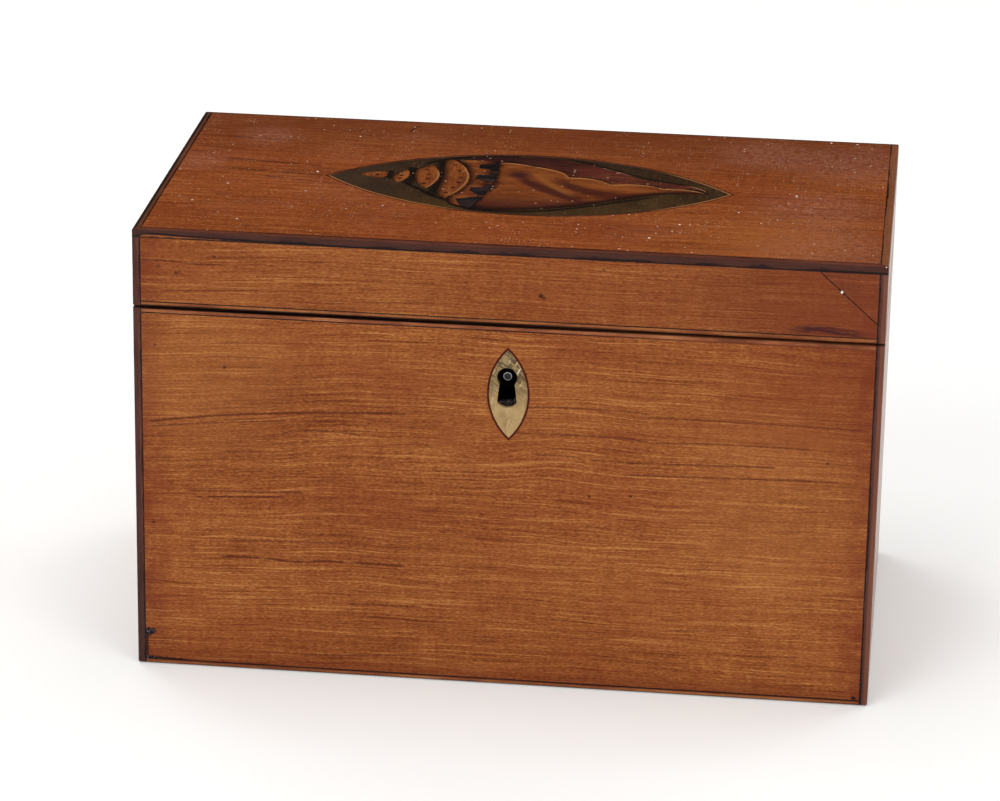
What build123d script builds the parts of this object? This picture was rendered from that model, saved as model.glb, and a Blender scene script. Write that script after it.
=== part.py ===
from build123d import *
import os
from math import sqrt, tan, radians

# A veneered box with a hinged lid, a shell inlay in its top and a box lock. Millimetres, +Z up, front at -Y,
# with the origin at the middle of the base.

# Outside of the box
box_width = 190.0
box_depth = 105.0
body_height = 98.05
joint_gap = 0.75            # open line between case and lid
lid_height = 20.2

# Boards and veneers
board = 8.0                 # carcass boards and lid rails
corner_lap = 3.0            # wood of the front and back boards left over the ends of the side boards
bottom_thickness = 6.0
bottom_rebate = 4.0         # width of the rebate that the bottom board is let into
lid_board_thickness = 6.0
veneer = 1.2                # saw-cut veneer
paper = 0.3                 # lining paper
paper_margin = 0.6          # bare wood between the paper and a rim, or round the lock
arris_round = 0.5           # wear of the outer arrises

# Stringing and edging
string_size = 2.2           # square stringing let into the corners
back_string_size = 0.9      # slimmer string along the top's back edge
edging_height = 0.95        # pale strip at each rim
line_height = 0.3           # dark line beside the rim strip
base_edging_height = 1.1
base_line_height = 0.4

# Triangular repair at the right end of the lid's front
patch_length = 14.7
patch_drop = 13.1
seam = 0.12                 # open glue line round a let-in piece

# Brads through the bottom board
brad_radius = 0.5
brad_head_radius = 1.1
brad_head = 0.5
brad_length = 14.0
brad_row_x = (-70.0, 0.0, 70.0)
brad_row_y = (-30.0, 30.0)

# Butt hinges
hinge_length = 32.0
hinge_inset = 37.0          # from the box's end to the middle of a hinge
leaf_thickness = 1.2
leaf_margin = 0.6           # wood left between a leaf and the board's inner face
metal_gap = 0.1             # gap between the facing metal plates of lid and case
knuckle_radius = 2.2
knuckle_count = 5
knuckle_gap = 0.15
knuckle_clearance = 0.3
hinge_pin_radius = 0.95
pin_clearance = 0.05        # running fit of the lid's knuckles on the pin
pin_dome = 0.4
pin_end_round = 0.36
bevel_width = 1.0          # bevel of the back arrises, which stops the lid
bevel_angle = 51.0

# Wood screws
screw_head_radius = 1.9
screw_head = 1.0
screw_shank_radius = 0.8
screw_point = 1.6           # length of the tapered end
screw_point_radius = 0.16
screw_length = 7.0
short_screw_length = 4.6
screw_slot = 0.5
screw_slot_depth = 0.35
leaf_screw_spacing = 11.0
leaf_screw_inset = 4.4      # from the hinge axis

# Box lock
plate_half_width = 26.0
plate_thickness = 1.5
plate_drop = 27.0           # from the case's rim to the plate's lower edge
selvedge_depth = 6.7
plate_screw_x = 23.5
plate_screw_drops = (10.0, 23.0)
selvedge_screw_inset = 4.1
cap_half_width = 20.8
cap_drop = 21.0
cap_wall = 0.8
works_depth = 2.6           # room between plate and cap
mortise_clearance = 0.3
rivet_radius = 0.8
rivet_x = 18.6
rivet_drops = (3.4, 18.8)
bolt_thickness = 2.0
bolt_clearance = 0.3
bolt_travel = 2.6
bar_left = -16.6
bar_right = 9.0
bar_top_drop = 8.6
bar_bottom_drop = 11.8
finger_top_drop = 3.0
finger_bottom_drop = 5.5
finger_length = 2.5
upright_width = 2.2
finger_gap = 0.4            # from a finger's tip to the hook, with the bolt drawn back
talon_half_width = 2.1
talon_depth = 1.3
stump_radius = 0.7
stump_clearance = 0.1
stump_x = (-10.0, 7.0)
stump_drop = 10.2
spring_thickness = 0.4
spring_width = 1.4
spring_foot = (-1.2, 1.0)
spring_tip_x = -5.4
spring_tip_drop = 1.9
spring_belly = (-4.224, 6.192)  # place along X, and drop from the rim, of the middle of the spring's arc

# Link plate on the lid, with its two hooks
hook_x = (-9.0, 9.0)
hook_half_width = 2.5
shank_width = 2.4
hook_thickness = 1.4
hook_drop = 8.0
beak_height = 2.2
slot_clearance = 0.3
slot_back_clearance = 0.1   # behind a hook
hook_swing = 0.8            # room in front of a hook for its arc
link_screw_x = 22.0

# Keyhole, drill pin and escutcheon
key_x = 0.65                # the hand-cut keyhole stands a little right of the middle
key_drop = 13.55            # from the case's rim to the drill pin
keyhole_radius = 2.6
keyhole_neck = 3.5
keyhole_foot = 5.0
keyhole_foot_drop = 6.6
keyhole_depth = 8.1
drill_pin_radius = 1.1
drill_pin_tail_radius = 0.8 # riveted through the plate
drill_pin_recess = 1.0      # from the front face back to the pin's end
drill_pin_chamfer = 0.25
drill_pin_dimple = 0.45
escutcheon_x = 1.0
escutcheon_turn = 1.2       # degrees that its top leans to the left
escutcheon_height = 24.0
escutcheon_width = 10.1
escutcheon_drop = 17.95     # from the rim to its middle
glue_line = 0.2

# Shell inlay
inlay_length = 106.2
inlay_width = 51.6
inlay_string = 0.45
saw_kerf = 0.14
least_piece = 0.5           # area of the smallest piece worth cutting

overcut = 1.0               # how far a cutting shape runs past the wood it cuts

# Places that follow from the sizes
half_width = box_width / 2
half_depth = box_depth / 2
body_top = body_height
lid_bottom = body_height + joint_gap
lid_top = lid_bottom + lid_height
core_width = half_width - veneer            # carcass, without its veneer
core_depth = half_depth - veneer
well_width = core_width - board             # inner faces of the boards
well_depth = core_depth - board
lid_board_top = lid_top - veneer
rail_top = lid_board_top - lid_board_thickness
hinge_y = half_depth - bevel_width
hinge_z = body_top + joint_gap / 2
metal_proud = (joint_gap - metal_gap) / 2
leaf_inner_y = well_depth + leaf_margin
plate_back = -well_depth                    # the lock is let in flush with the front board's inner face
plate_front = plate_back - plate_thickness
cap_inner = plate_front - works_depth
cap_front = cap_inner - cap_wall
selvedge_top = body_top + metal_proud
selvedge_bottom = selvedge_top - plate_thickness
link_bottom = lid_bottom - metal_proud
link_top = link_bottom + plate_thickness
key_z = body_top - key_drop
escutcheon_z = body_top - escutcheon_drop
drill_pin_end = -half_depth + drill_pin_recess
bolt_back = plate_front - bolt_clearance
bolt_front = bolt_back - bolt_thickness

nodes = {}


def block(x0, x1, y0, y1, z0, z1):
    """A rectangular block between two corners."""
    size = (abs(x1 - x0), abs(y1 - y0), abs(z1 - z0))
    return Pos((x0 + x1) / 2, (y0 + y1) / 2, (z0 + z1) / 2) * Box(*size)


def front_prism(outline, y_back, y_front):
    """An outline in X and Z, made solid between two depths."""
    return extrude(Plane.XZ.offset(-y_back) * outline, amount=y_back - y_front)


def side_prism(points, half_length):
    """A polygon in Y and Z, made solid along X to both sides of the middle."""
    face = Plane.YZ * make_face(Polyline(*points, close=True))
    return extrude(face, amount=half_length, both=True)


def rod_x(x0, x1, y, z, radius):
    """A round rod along X."""
    return Pos((x0 + x1) / 2, y, z) * Rot(0, 90, 0) * Cylinder(radius, x1 - x0)


def rod_y(x, z, y_back, y_front, radius):
    """A round rod along Y."""
    return Pos(x, (y_back + y_front) / 2, z) * Rot(90, 0, 0) * Cylinder(radius, y_back - y_front)


def union(shapes):
    """All the shapes joined into one."""
    whole = shapes[0]
    for shape in shapes[1:]:
        whole = whole + shape
    return whole


def solids_of(*shapes):
    """The separate solids of some shapes, kept apart in one group."""
    return Compound(children=[solid for shape in shapes for solid in shape.solids()])


def pointed_oval(length, width, inset=0.0):
    """A pointed oval of two equal arcs, long along X. An inset moves both arcs in."""
    radius = (length ** 2 + width ** 2) / (4 * width)
    centre = radius - width / 2
    arc_radius = radius - inset
    tip = sqrt(arc_radius ** 2 - centre ** 2)
    crown = arc_radius - centre
    upper = ThreePointArc((-tip, 0), (0, crown), (tip, 0))
    lower = ThreePointArc((tip, 0), (0, -crown), (-tip, 0))
    return make_face([upper, lower])


def screw(length, slotted=True):
    """A countersunk wood screw that points down, with the top of its head at the origin."""
    head = Pos(0, 0, -screw_head / 2) * Cone(screw_shank_radius, screw_head_radius, screw_head)
    straight = length - screw_head - screw_point
    shank = Pos(0, 0, -screw_head - straight / 2) * Cylinder(screw_shank_radius, straight)
    point = Pos(0, 0, -length + screw_point / 2) * Cone(screw_point_radius, screw_shank_radius, screw_point)
    whole = head + shank + point
    if slotted:
        whole = whole - Box(screw_head_radius * 3, screw_slot, screw_slot_depth * 2)
    return whole


def place_all(places, make):
    """The shape that make() gives, set at each place."""
    return [place * make for place in places]


# Shapes that cut or trim several pieces
sanded_box = fillet(block(-half_width, half_width, -half_depth, half_depth, 0, lid_top).edges(), arris_round)
string_inner_x = half_width - string_size
string_inner_y = half_depth - string_size
string_under = lid_top - string_size
back_string_y = half_depth - back_string_size
back_string_under = lid_top - back_string_size


def corner_posts(z0, z1):
    """The four square corner strings between two heights, before their arrises are sanded."""
    return [
        block(sx * string_inner_x, sx * half_width, sy * string_inner_y, sy * half_depth, z0, z1)
        for sy in (-1, 1) for sx in (-1, 1)
    ]


def back_bevel(up):
    """The wedge cut from the back arrises, so that lid and case close on each other past upright."""
    beyond = bevel_width + overcut
    rise = up * tan(radians(bevel_angle)) * beyond
    outer_y = hinge_y + beyond
    return side_prism([(hinge_y, hinge_z), (outer_y, hinge_z), (outer_y, hinge_z + rise)], box_width)


hinge_places = (-half_width + hinge_inset, half_width - hinge_inset)
pin_reach = hinge_length / 2 + pin_dome
pocket_reach = pin_reach + knuckle_clearance
knuckle_pocket = union([
    rod_x(x - pocket_reach, x + pocket_reach, hinge_y, hinge_z, knuckle_radius + knuckle_clearance)
    for x in hinge_places
])


# Butt hinges. The lower leaves hold the pins, and the upper leaves turn on them.
def knuckle_spans(x, up):
    """The stretches along X of one leaf's knuckles, up being 1 for the lid's leaf and -1 for the case's."""
    pitch = (hinge_length + knuckle_gap) / knuckle_count
    start = x - hinge_length / 2
    first = 1 if up > 0 else 0
    left_ends = [start + k * pitch for k in range(first, knuckle_count, 2)]
    return [(end, end + pitch - knuckle_gap) for end in left_ends]


def leaf_plate(x, up):
    """The flat of one leaf."""
    face = hinge_z + up * metal_gap / 2
    reach = hinge_length / 2
    return block(x - reach, x + reach, leaf_inner_y, hinge_y, face, face + up * leaf_thickness)


def leaf_screws(x, up, slotted):
    """The three screws of one leaf."""
    face = hinge_z + up * metal_gap / 2
    turn = Rot(180, 0, 0) if up > 0 else Rot(0, 0, 0)
    places = [Pos(x + k * leaf_screw_spacing, hinge_y - leaf_screw_inset, face) * turn for k in (-1, 0, 1)]
    return place_all(places, screw(screw_length, slotted))


def hinge_leaf(x, up):
    """One leaf with its knuckles, bore and screw holes."""
    leaf = leaf_plate(x, up)
    reach = knuckle_radius + knuckle_clearance
    for x0, x1 in knuckle_spans(x, -up):
        leaf = leaf - rod_x(x0 - knuckle_gap, x1 + knuckle_gap, hinge_y, hinge_z, reach)
    for x0, x1 in knuckle_spans(x, up):
        leaf = leaf + rod_x(x0, x1, hinge_y, hinge_z, knuckle_radius)
    bore = hinge_pin_radius + (pin_clearance if up > 0 else 0)
    leaf = leaf - rod_x(x - hinge_length, x + hinge_length, hinge_y, hinge_z, bore)
    return leaf - union(leaf_screws(x, up, False))


def hinge_pin(x):
    """A brass pin with peened, domed ends."""
    pin = rod_x(x - pin_reach, x + pin_reach, hinge_y, hinge_z, hinge_pin_radius)
    ends = pin.edges().filter_by(GeomType.CIRCLE)
    return fillet(ends, pin_end_round)


for x, side in zip(hinge_places, ("left", "right")):
    nodes[f"lower_hinge_leaf_{side}"] = hinge_leaf(x, -1)
    nodes[f"upper_hinge_leaf_{side}"] = hinge_leaf(x, 1)
nodes["hinge_pins"] = solids_of(*[hinge_pin(x) for x in hinge_places])
lower_leaf_screws = [s for x in hinge_places for s in leaf_screws(x, -1, True)]
upper_leaf_screws = [s for x in hinge_places for s in leaf_screws(x, 1, True)]
nodes["lower_hinge_screws"] = solids_of(*lower_leaf_screws)
nodes["upper_hinge_screws"] = solids_of(*upper_leaf_screws)
lower_hinge_cut = union(
    [leaf_plate(x, -1) for x in hinge_places]
    + [s for x in hinge_places for s in leaf_screws(x, -1, False)] + [knuckle_pocket])
upper_hinge_cut = union(
    [leaf_plate(x, 1) for x in hinge_places]
    + [s for x in hinge_places for s in leaf_screws(x, 1, False)] + [knuckle_pocket])


# Box lock, let into the front board from inside and above
def keyhole_outline():
    """A round eye over a slot that widens to a curved foot."""
    neck, foot = keyhole_neck / 2, keyhole_foot / 2
    slot = make_face([
        Polyline((-foot, -keyhole_foot_drop), (-neck, 0), (neck, 0), (foot, -keyhole_foot_drop)),
        ThreePointArc((foot, -keyhole_foot_drop), (0, -keyhole_depth), (-foot, -keyhole_foot_drop)),
    ])
    return Pos(key_x, key_z) * (Circle(keyhole_radius) + slot)


keyhole = front_prism(keyhole_outline(), plate_front, -half_depth - overcut)

rivet_places = [(sx * rivet_x, body_top - drop) for drop in rivet_drops for sx in (-1, 1)]
rivets = [rod_y(x, z, plate_back, cap_front, rivet_radius) for x, z in rivet_places]
nodes["lock_rivets"] = solids_of(*rivets)

stumps = [rod_y(x, body_top - stump_drop, plate_back, cap_inner, stump_radius) for x in stump_x]
nodes["bolt_stumps"] = solids_of(*stumps)

drill_pin = rod_y(key_x, key_z, plate_front, drill_pin_end, drill_pin_radius)
pin_rim = drill_pin.edges().filter_by(GeomType.CIRCLE).sort_by(Axis.Y)[0]
drill_pin = chamfer(pin_rim, drill_pin_chamfer)
dimple_end = drill_pin_end + drill_pin_dimple / 2
drill_pin = drill_pin - rod_y(key_x, key_z, dimple_end, drill_pin_end - overcut, drill_pin_dimple)
pin_tail = rod_y(key_x, key_z, plate_back, plate_front, drill_pin_tail_radius)
nodes["drill_pin"] = drill_pin + pin_tail


def plate_screws(slotted):
    """The screws through the lock's plate, from inside the box, and through its selvedge, from above."""
    places = [
        Pos(sx * plate_screw_x, plate_back, body_top - drop) * Rot(-90, 0, 0)
        for drop in plate_screw_drops for sx in (-1, 1)
    ]
    down = [Pos(sx * plate_screw_x, plate_back - selvedge_screw_inset, selvedge_top) for sx in (-1, 1)]
    return place_all(places + down, screw(short_screw_length, slotted))


nodes["lock_screws"] = solids_of(*plate_screws(True))

selvedge_front = plate_back - selvedge_depth
lock_plate_blank = (
    block(-plate_half_width, plate_half_width, plate_front, plate_back, body_top - plate_drop, selvedge_top)
    + block(-plate_half_width, plate_half_width, selvedge_front, plate_back, selvedge_bottom, selvedge_top)
)
hook_back = plate_front - bolt_clearance
hook_front = hook_back - hook_thickness
hook_slots = [
    block(x - hook_half_width - slot_clearance, x + hook_half_width + slot_clearance,
          hook_front - hook_swing, plate_front - slot_back_clearance,
          selvedge_bottom - overcut, selvedge_top + overcut)
    for x in hook_x
]
lock_screw_holes = union(plate_screws(False))
nodes["lock_plate"] = lock_plate_blank - union(hook_slots + rivets + stumps + [lock_screw_holes, pin_tail])

cap_bottom = body_top - cap_drop
works_half_width = cap_half_width - cap_wall
works_bottom = cap_bottom + cap_wall
cap_outer = block(-cap_half_width, cap_half_width, cap_front, plate_front, cap_bottom, selvedge_bottom)
works = block(-works_half_width, works_half_width, cap_inner, plate_front, works_bottom, selvedge_bottom)
nodes["lock_cap"] = cap_outer - works - keyhole - union(rivets)

mortise_half_width = cap_half_width + mortise_clearance
lock_cut = union([
    lock_plate_blank,
    block(-mortise_half_width, mortise_half_width, cap_front - mortise_clearance, plate_front,
          cap_bottom - mortise_clearance, selvedge_bottom),
    lock_screw_holes,
])


def bolt_outline():
    """A bar with two bent fingers, a talon for the key and two slots for the stumps."""
    top, bottom = body_top - bar_top_drop, body_top - bar_bottom_drop
    bar = Rectangle(bar_right - bar_left, top - bottom)
    shape = Pos((bar_left + bar_right) / 2, (top + bottom) / 2) * bar
    finger_top, finger_bottom = body_top - finger_top_drop, body_top - finger_bottom_drop
    for x in hook_x:
        tip = x - hook_half_width - finger_gap
        root = tip - finger_length
        shape += Pos(root - upright_width / 2, (finger_top + bottom) / 2) * Rectangle(
            upright_width, finger_top - bottom)
        shape += Pos((root - upright_width + tip) / 2, (finger_top + finger_bottom) / 2) * Rectangle(
            tip - root + upright_width, finger_top - finger_bottom)
    shape -= Pos(key_x, bottom) * Rectangle(2 * talon_half_width, 2 * talon_depth)
    slot = SlotCenterToCenter(bolt_travel, 2 * (stump_radius + stump_clearance))
    for x in stump_x:
        shape -= Pos(x - bolt_travel / 2, body_top - stump_drop) * slot
    return shape


nodes["lock_bolt"] = front_prism(bolt_outline(), bolt_back, bolt_front)

spring_z = body_top - bar_top_drop + spring_thickness / 2
spring_line = [
    Line((spring_foot[1], spring_z), (spring_foot[0], spring_z)),
    ThreePointArc((spring_foot[0], spring_z), (spring_belly[0], body_top - spring_belly[1]),
                  (spring_tip_x, body_top - spring_tip_drop)),
]
spring_middle = (bolt_back + bolt_front) / 2
spring_shape = front_prism(trace(spring_line, line_width=spring_thickness),
                           spring_middle + spring_width / 2, spring_middle - spring_width / 2)
nodes["bolt_spring"] = spring_shape - nodes["lock_bolt"]


def hook(x):
    """A hook that hangs from the link plate, with its beak towards -X."""
    bottom = body_top - hook_drop
    right = x + hook_half_width
    shank = block(right - shank_width, right, hook_front, hook_back, bottom, link_bottom)
    beak = block(x - hook_half_width, right, hook_front, hook_back, bottom, bottom + beak_height)
    return shank + beak


def link_screws(slotted):
    """The two screws that hold the link plate up against the lid's front rail."""
    y = plate_back - selvedge_screw_inset
    places = [Pos(sx * link_screw_x, y, link_bottom) * Rot(180, 0, 0) for sx in (-1, 1)]
    return place_all(places, screw(screw_length, slotted))


link_blank = block(-plate_half_width, plate_half_width, selvedge_front, plate_back, link_bottom, link_top)
nodes["link_plate"] = union([link_blank] + [hook(x) for x in hook_x]) - union(link_screws(False))
nodes["link_screws"] = solids_of(*link_screws(True))
link_cut = union([link_blank] + link_screws(False))


# Carcass boards. The lid's rails are cut from the same boards, above the joint.
def long_board(side, z0, z1):
    """A front or back board, rebated at both ends for the side boards."""
    outer, inner = side * core_depth, side * well_depth
    plank = block(-core_width, core_width, outer, inner, z0, z1)
    lap, past = side * (core_depth - corner_lap), inner - side * overcut
    for sx in (-1, 1):
        plank = plank - block(sx * well_width, sx * (core_width + overcut), lap, past, z0, z1)
    return plank - union(corner_posts(z0, z1))


def short_board(side, z0, z1):
    """A side board, which ends in the rebates."""
    reach = core_depth - corner_lap
    return block(side * well_width, side * core_width, -reach, reach, z0, z1)


bottom_half_x = well_width + bottom_rebate
bottom_half_y = well_depth + bottom_rebate
bottom_board = block(-bottom_half_x, bottom_half_x, -bottom_half_y, bottom_half_y, 0, bottom_thickness)


def brad(x, y):
    """A small steel brad with its head flush with the underside."""
    head = Pos(x, y, brad_head / 2) * Cylinder(brad_head_radius, brad_head)
    shank = Pos(x, y, brad_length / 2) * Cylinder(brad_radius, brad_length)
    return head + shank


brad_y = well_depth + bottom_rebate / 2
brad_x = well_width + bottom_rebate / 2
brads = [brad(x, sy * brad_y) for sy in (-1, 1) for x in brad_row_x]
brads += [brad(sx * brad_x, y) for sx in (-1, 1) for y in brad_row_y]
nodes["bottom_brads"] = solids_of(*brads)
all_brads = union(brads)

base_cut = bottom_board + all_brads
nodes["front_board"] = long_board(-1, 0, body_top) - base_cut - lock_cut - keyhole
nodes["back_board"] = long_board(1, 0, body_top) - base_cut - lower_hinge_cut
nodes["left_board"] = short_board(-1, 0, body_top) - base_cut
nodes["right_board"] = short_board(1, 0, body_top) - base_cut
nodes["bottom_board"] = bottom_board - all_brads

nodes["lid_front_rail"] = long_board(-1, lid_bottom, rail_top) - link_cut
nodes["lid_back_rail"] = long_board(1, lid_bottom, rail_top) - upper_hinge_cut
nodes["lid_left_rail"] = short_board(-1, lid_bottom, rail_top)
nodes["lid_right_rail"] = short_board(1, lid_bottom, rail_top)


# Stringing on the lid's top edges, mitred at the front corners
def top_strings():
    """The front, left, right and back strings, each with its mitre or butt end."""
    def mitre(sx):
        corner, inner = (sx * half_width, -half_depth), (sx * string_inner_x, -string_inner_y)
        triangle = make_face(Polyline(corner, (sx * half_width, -string_inner_y), inner, close=True))
        return extrude(Pos(0, 0, string_under) * triangle, amount=string_size)

    front = block(-half_width, half_width, -half_depth, -string_inner_y, string_under, lid_top)
    front = (front - mitre(-1) - mitre(1)) & sanded_box
    back = block(-half_width, half_width, back_string_y, half_depth, back_string_under, lid_top) & sanded_box
    sides = []
    for sx in (-1, 1):
        inner_x, outer_x = sx * string_inner_x, sx * half_width
        strip = block(inner_x, outer_x, -string_inner_y, back_string_y, string_under, lid_top)
        sides.append((strip + mitre(sx)) & sanded_box)
    return front, sides, back


front_string, side_strings, back_string = top_strings()
nodes["top_front_string"] = front_string
nodes["top_side_strings"] = solids_of(*side_strings)
nodes["top_back_string"] = back_string
top_string_cut = union([
    block(-half_width, half_width, -half_depth, -string_inner_y, string_under, lid_top),
    block(-half_width, -string_inner_x, -half_depth, back_string_y, string_under, lid_top),
    block(string_inner_x, half_width, -half_depth, back_string_y, string_under, lid_top),
    block(-half_width, half_width, back_string_y, half_depth, back_string_under, lid_top),
])

case_posts = [(post & sanded_box) - back_bevel(-1) for post in corner_posts(0, body_top)]
nodes["case_corner_strings"] = solids_of(*case_posts)
lid_posts = [(post & sanded_box) - back_bevel(1) for post in corner_posts(lid_bottom, string_under)]
nodes["lid_corner_strings"] = solids_of(*lid_posts)

lid_board = block(-core_width, core_width, -core_depth, core_depth, rail_top, lid_board_top)
nodes["lid_top_board"] = lid_board - top_string_cut - union(corner_posts(rail_top, string_under))


# Veneers, rim edgings and lines
def front_sheet(z0, z1):
    """A strip of the front's veneer between the corner strings."""
    return block(-string_inner_x, string_inner_x, -half_depth, -core_depth, z0, z1)


def back_sheet(z0, z1):
    """A strip of the back's veneer."""
    return block(-string_inner_x, string_inner_x, core_depth, half_depth, z0, z1)


def side_sheet(side, z0, z1):
    """A strip of a side's veneer."""
    return block(side * core_width, side * half_width, -string_inner_y, string_inner_y, z0, z1)


def band(z0, z1):
    """Strips at one height along the front and both sides, where the back is bevelled and has none."""
    return [front_sheet(z0, z1), side_sheet(-1, z0, z1), side_sheet(1, z0, z1)]


base_edge = base_edging_height
base_line = base_edging_height + base_line_height
nodes["base_edging"] = solids_of(*[s & sanded_box for s in band(0, base_edge) + [back_sheet(0, base_edge)]])
nodes["base_line"] = solids_of(*band(base_edge, base_line), back_sheet(base_edge, base_line))

case_rim = body_top - edging_height
case_line = case_rim - line_height
nodes["case_rim_edging"] = solids_of(*band(case_rim, body_top))
nodes["case_rim_line"] = solids_of(*band(case_line, case_rim))

lid_rim = lid_bottom + edging_height
lid_line = lid_rim + line_height
nodes["lid_rim_edging"] = solids_of(*band(lid_bottom, lid_rim))
nodes["lid_rim_line"] = solids_of(*band(lid_rim, lid_line))


top_sheet = block(-string_inner_x, string_inner_x, -string_inner_y, back_string_y, lid_board_top, lid_top)


def upright_oval(inset):
    """The escutcheon's outline, standing on its point."""
    stand = Pos(escutcheon_x, escutcheon_z) * Rot(0, 0, 90 + escutcheon_turn)
    return stand * pointed_oval(escutcheon_height, escutcheon_width, inset)


escutcheon_pocket = front_prism(upright_oval(-glue_line), -core_depth, -half_depth)
nodes["escutcheon"] = front_prism(upright_oval(0), -core_depth, -half_depth) - keyhole
nodes["case_front_veneer"] = front_sheet(base_line, case_line) - escutcheon_pocket
nodes["case_back_veneer"] = back_sheet(base_line, body_top) - back_bevel(-1) - knuckle_pocket
nodes["case_left_veneer"] = side_sheet(-1, base_line, case_line)
nodes["case_right_veneer"] = side_sheet(1, base_line, case_line)


def patch(inset):
    """The triangular repair in the lid's front veneer, with its sloping edge moved in by a glue line."""
    right, top = string_inner_x, string_under
    slope = sqrt(patch_length ** 2 + patch_drop ** 2)
    along, down = inset * slope / patch_drop, inset * slope / patch_length
    left, bottom = right - patch_length + along, top - patch_drop + down
    triangle = Polyline((left, top), (right, top), (right, bottom), close=True)
    return front_prism(make_face(triangle), -core_depth, -half_depth)


nodes["lid_front_patch"] = patch(seam)
nodes["lid_front_veneer"] = front_sheet(lid_line, string_under) - patch(0)
lid_back_sheet = back_sheet(lid_bottom, back_string_under) - top_sheet
nodes["lid_back_veneer"] = lid_back_sheet - back_bevel(1) - knuckle_pocket
nodes["lid_left_veneer"] = side_sheet(-1, lid_line, string_under)
nodes["lid_right_veneer"] = side_sheet(1, lid_line, string_under)


# Shell marquetry. The outlines are in shares of the oval's half length and half width.
def spot(point):
    """A place in the oval, from its shares."""
    return (point[0] * inlay_length / 2, point[1] * inlay_width / 2)


def arc_face(*points):
    """A face bounded by arcs. Corners and arc middles alternate, and the last arc ends at the start."""
    ring = [spot(point) for point in points]
    ring.append(ring[0])
    arcs = [ThreePointArc(ring[k], ring[k + 1], ring[k + 2]) for k in range(0, len(ring) - 2, 2)]
    return make_face(arcs)


def polygon_face(*points):
    """A face with straight sides."""
    return make_face(Polyline(*[spot(point) for point in points], close=True))


whorl_1 = arc_face((-0.853, 0.101), (-0.798, 0.174), (-0.727, 0.225), (-0.710, 0.132), (-0.723, 0.016),
                   (-0.791, 0.035))
whorl_2 = arc_face((-0.684, 0.016), (-0.667, 0.190), (-0.621, 0.322), (-0.601, 0.116), (-0.646, -0.124),
                   (-0.670, -0.062))
whorl_3 = arc_face((-0.582, 0.291), (-0.561, 0.422), (-0.508, 0.512), (-0.452, 0.163), (-0.475, -0.171),
                   (-0.484, -0.229), (-0.503, -0.287), (-0.563, -0.019))
whorl_4 = arc_face((-0.460, 0.659), (-0.441, 0.721), (-0.414, 0.736), (-0.301, 0.140), (-0.373, -0.512),
                   (-0.384, -0.543), (-0.399, -0.527), (-0.426, -0.442), (-0.441, -0.329), (-0.437, 0.155))
whorls = [whorl_1, whorl_2, whorl_3, whorl_4]

crown_outline = polygon_face(
    (-0.411, 0.678), (-0.392, 0.713), (-0.330, 0.744), (-0.237, 0.744), (-0.192, 0.705), (-0.207, 0.640),
    (-0.273, 0.616), (-0.275, 0.477), (-0.217, 0.461), (-0.207, 0.419), (-0.166, 0.403), (-0.166, 0.357),
    (-0.207, 0.341), (-0.217, 0.279), (-0.269, 0.256), (-0.273, 0.112), (-0.222, 0.089), (-0.211, 0.039),
    (-0.162, 0.016), (-0.164, -0.035), (-0.211, -0.062), (-0.222, -0.155), (-0.277, -0.167),
    (-0.281, -0.279), (-0.256, -0.326), (-0.241, -0.395), (-0.194, -0.426), (-0.198, -0.473),
    (-0.264, -0.488), (-0.288, -0.527), (-0.331, -0.566), (-0.318, -0.651), (-0.294, -0.791),
    (-0.354, -0.698), (-0.380, -0.581), (-0.405, -0.504),
)
crown = crown_outline - whorl_4

slip_field = polygon_face(
    (-0.358, 0.659), (-0.192, 0.705), (-0.177, 0.465), (-0.171, 0.349), (-0.171, 0.000), (-0.181, -0.155),
    (-0.196, -0.310), (-0.205, -0.504), (-0.222, -0.659), (-0.243, -0.826), (-0.294, -0.791),
    (-0.335, -0.659), (-0.358, -0.550),
)
slips = slip_field - whorl_4 - crown_outline

body_outline = arc_face(
    (-0.192, 0.705), (-0.104, 0.705), (-0.015, 0.632), (0.047, 0.597), (0.100, 0.550), (0.156, 0.450),
    (0.183, 0.322), (0.288, 0.306), (0.395, 0.143), (0.537, 0.190), (0.650, 0.093), (0.763, 0.097),
    (0.885, -0.035), (0.744, -0.058), (0.621, -0.143), (0.501, -0.300), (0.377, -0.473), (0.188, -0.702),
    (-0.038, -0.849), (-0.132, -0.872), (-0.243, -0.826), (-0.217, -0.039),
)
body_whorl = body_outline - slip_field - crown_outline

lip_outline = arc_face(
    (-0.414, 0.713), (-0.264, 0.868), (-0.075, 0.926), (0.132, 0.891), (0.322, 0.709), (0.405, 0.597),
    (0.480, 0.477), (0.539, 0.384), (0.603, 0.318), (0.706, 0.267), (0.795, 0.205), (0.855, 0.101),
    (0.885, -0.035), (0.565, 0.019), (-0.113, 0.465), (-0.264, 0.562),
)
lip = lip_outline - body_outline - slip_field - crown_outline - whorl_4


def saw_line(face):
    """The bands of wood that the saw takes away along a face's edges, round at each corner."""
    bands = [trace(edge, line_width=saw_kerf) for edge in face.edges()]
    return bands + [Pos(corner.X, corner.Y) * Circle(saw_kerf / 2) for corner in face.vertices()]


def sawn(outline):
    """The pieces of an outline, without the saw line round them. Crumbs too small to cut are dropped."""
    kept = [face for face in outline.faces() if face.area > least_piece]
    return [piece for face in kept for piece in (face - saw_line(face)).faces() if piece.area > least_piece]


def laid(faces):
    """Veneer pieces, glued down on the lid's board."""
    return solids_of(*[extrude(Pos(0, 0, lid_board_top) * face, amount=veneer) for face in faces])


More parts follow.
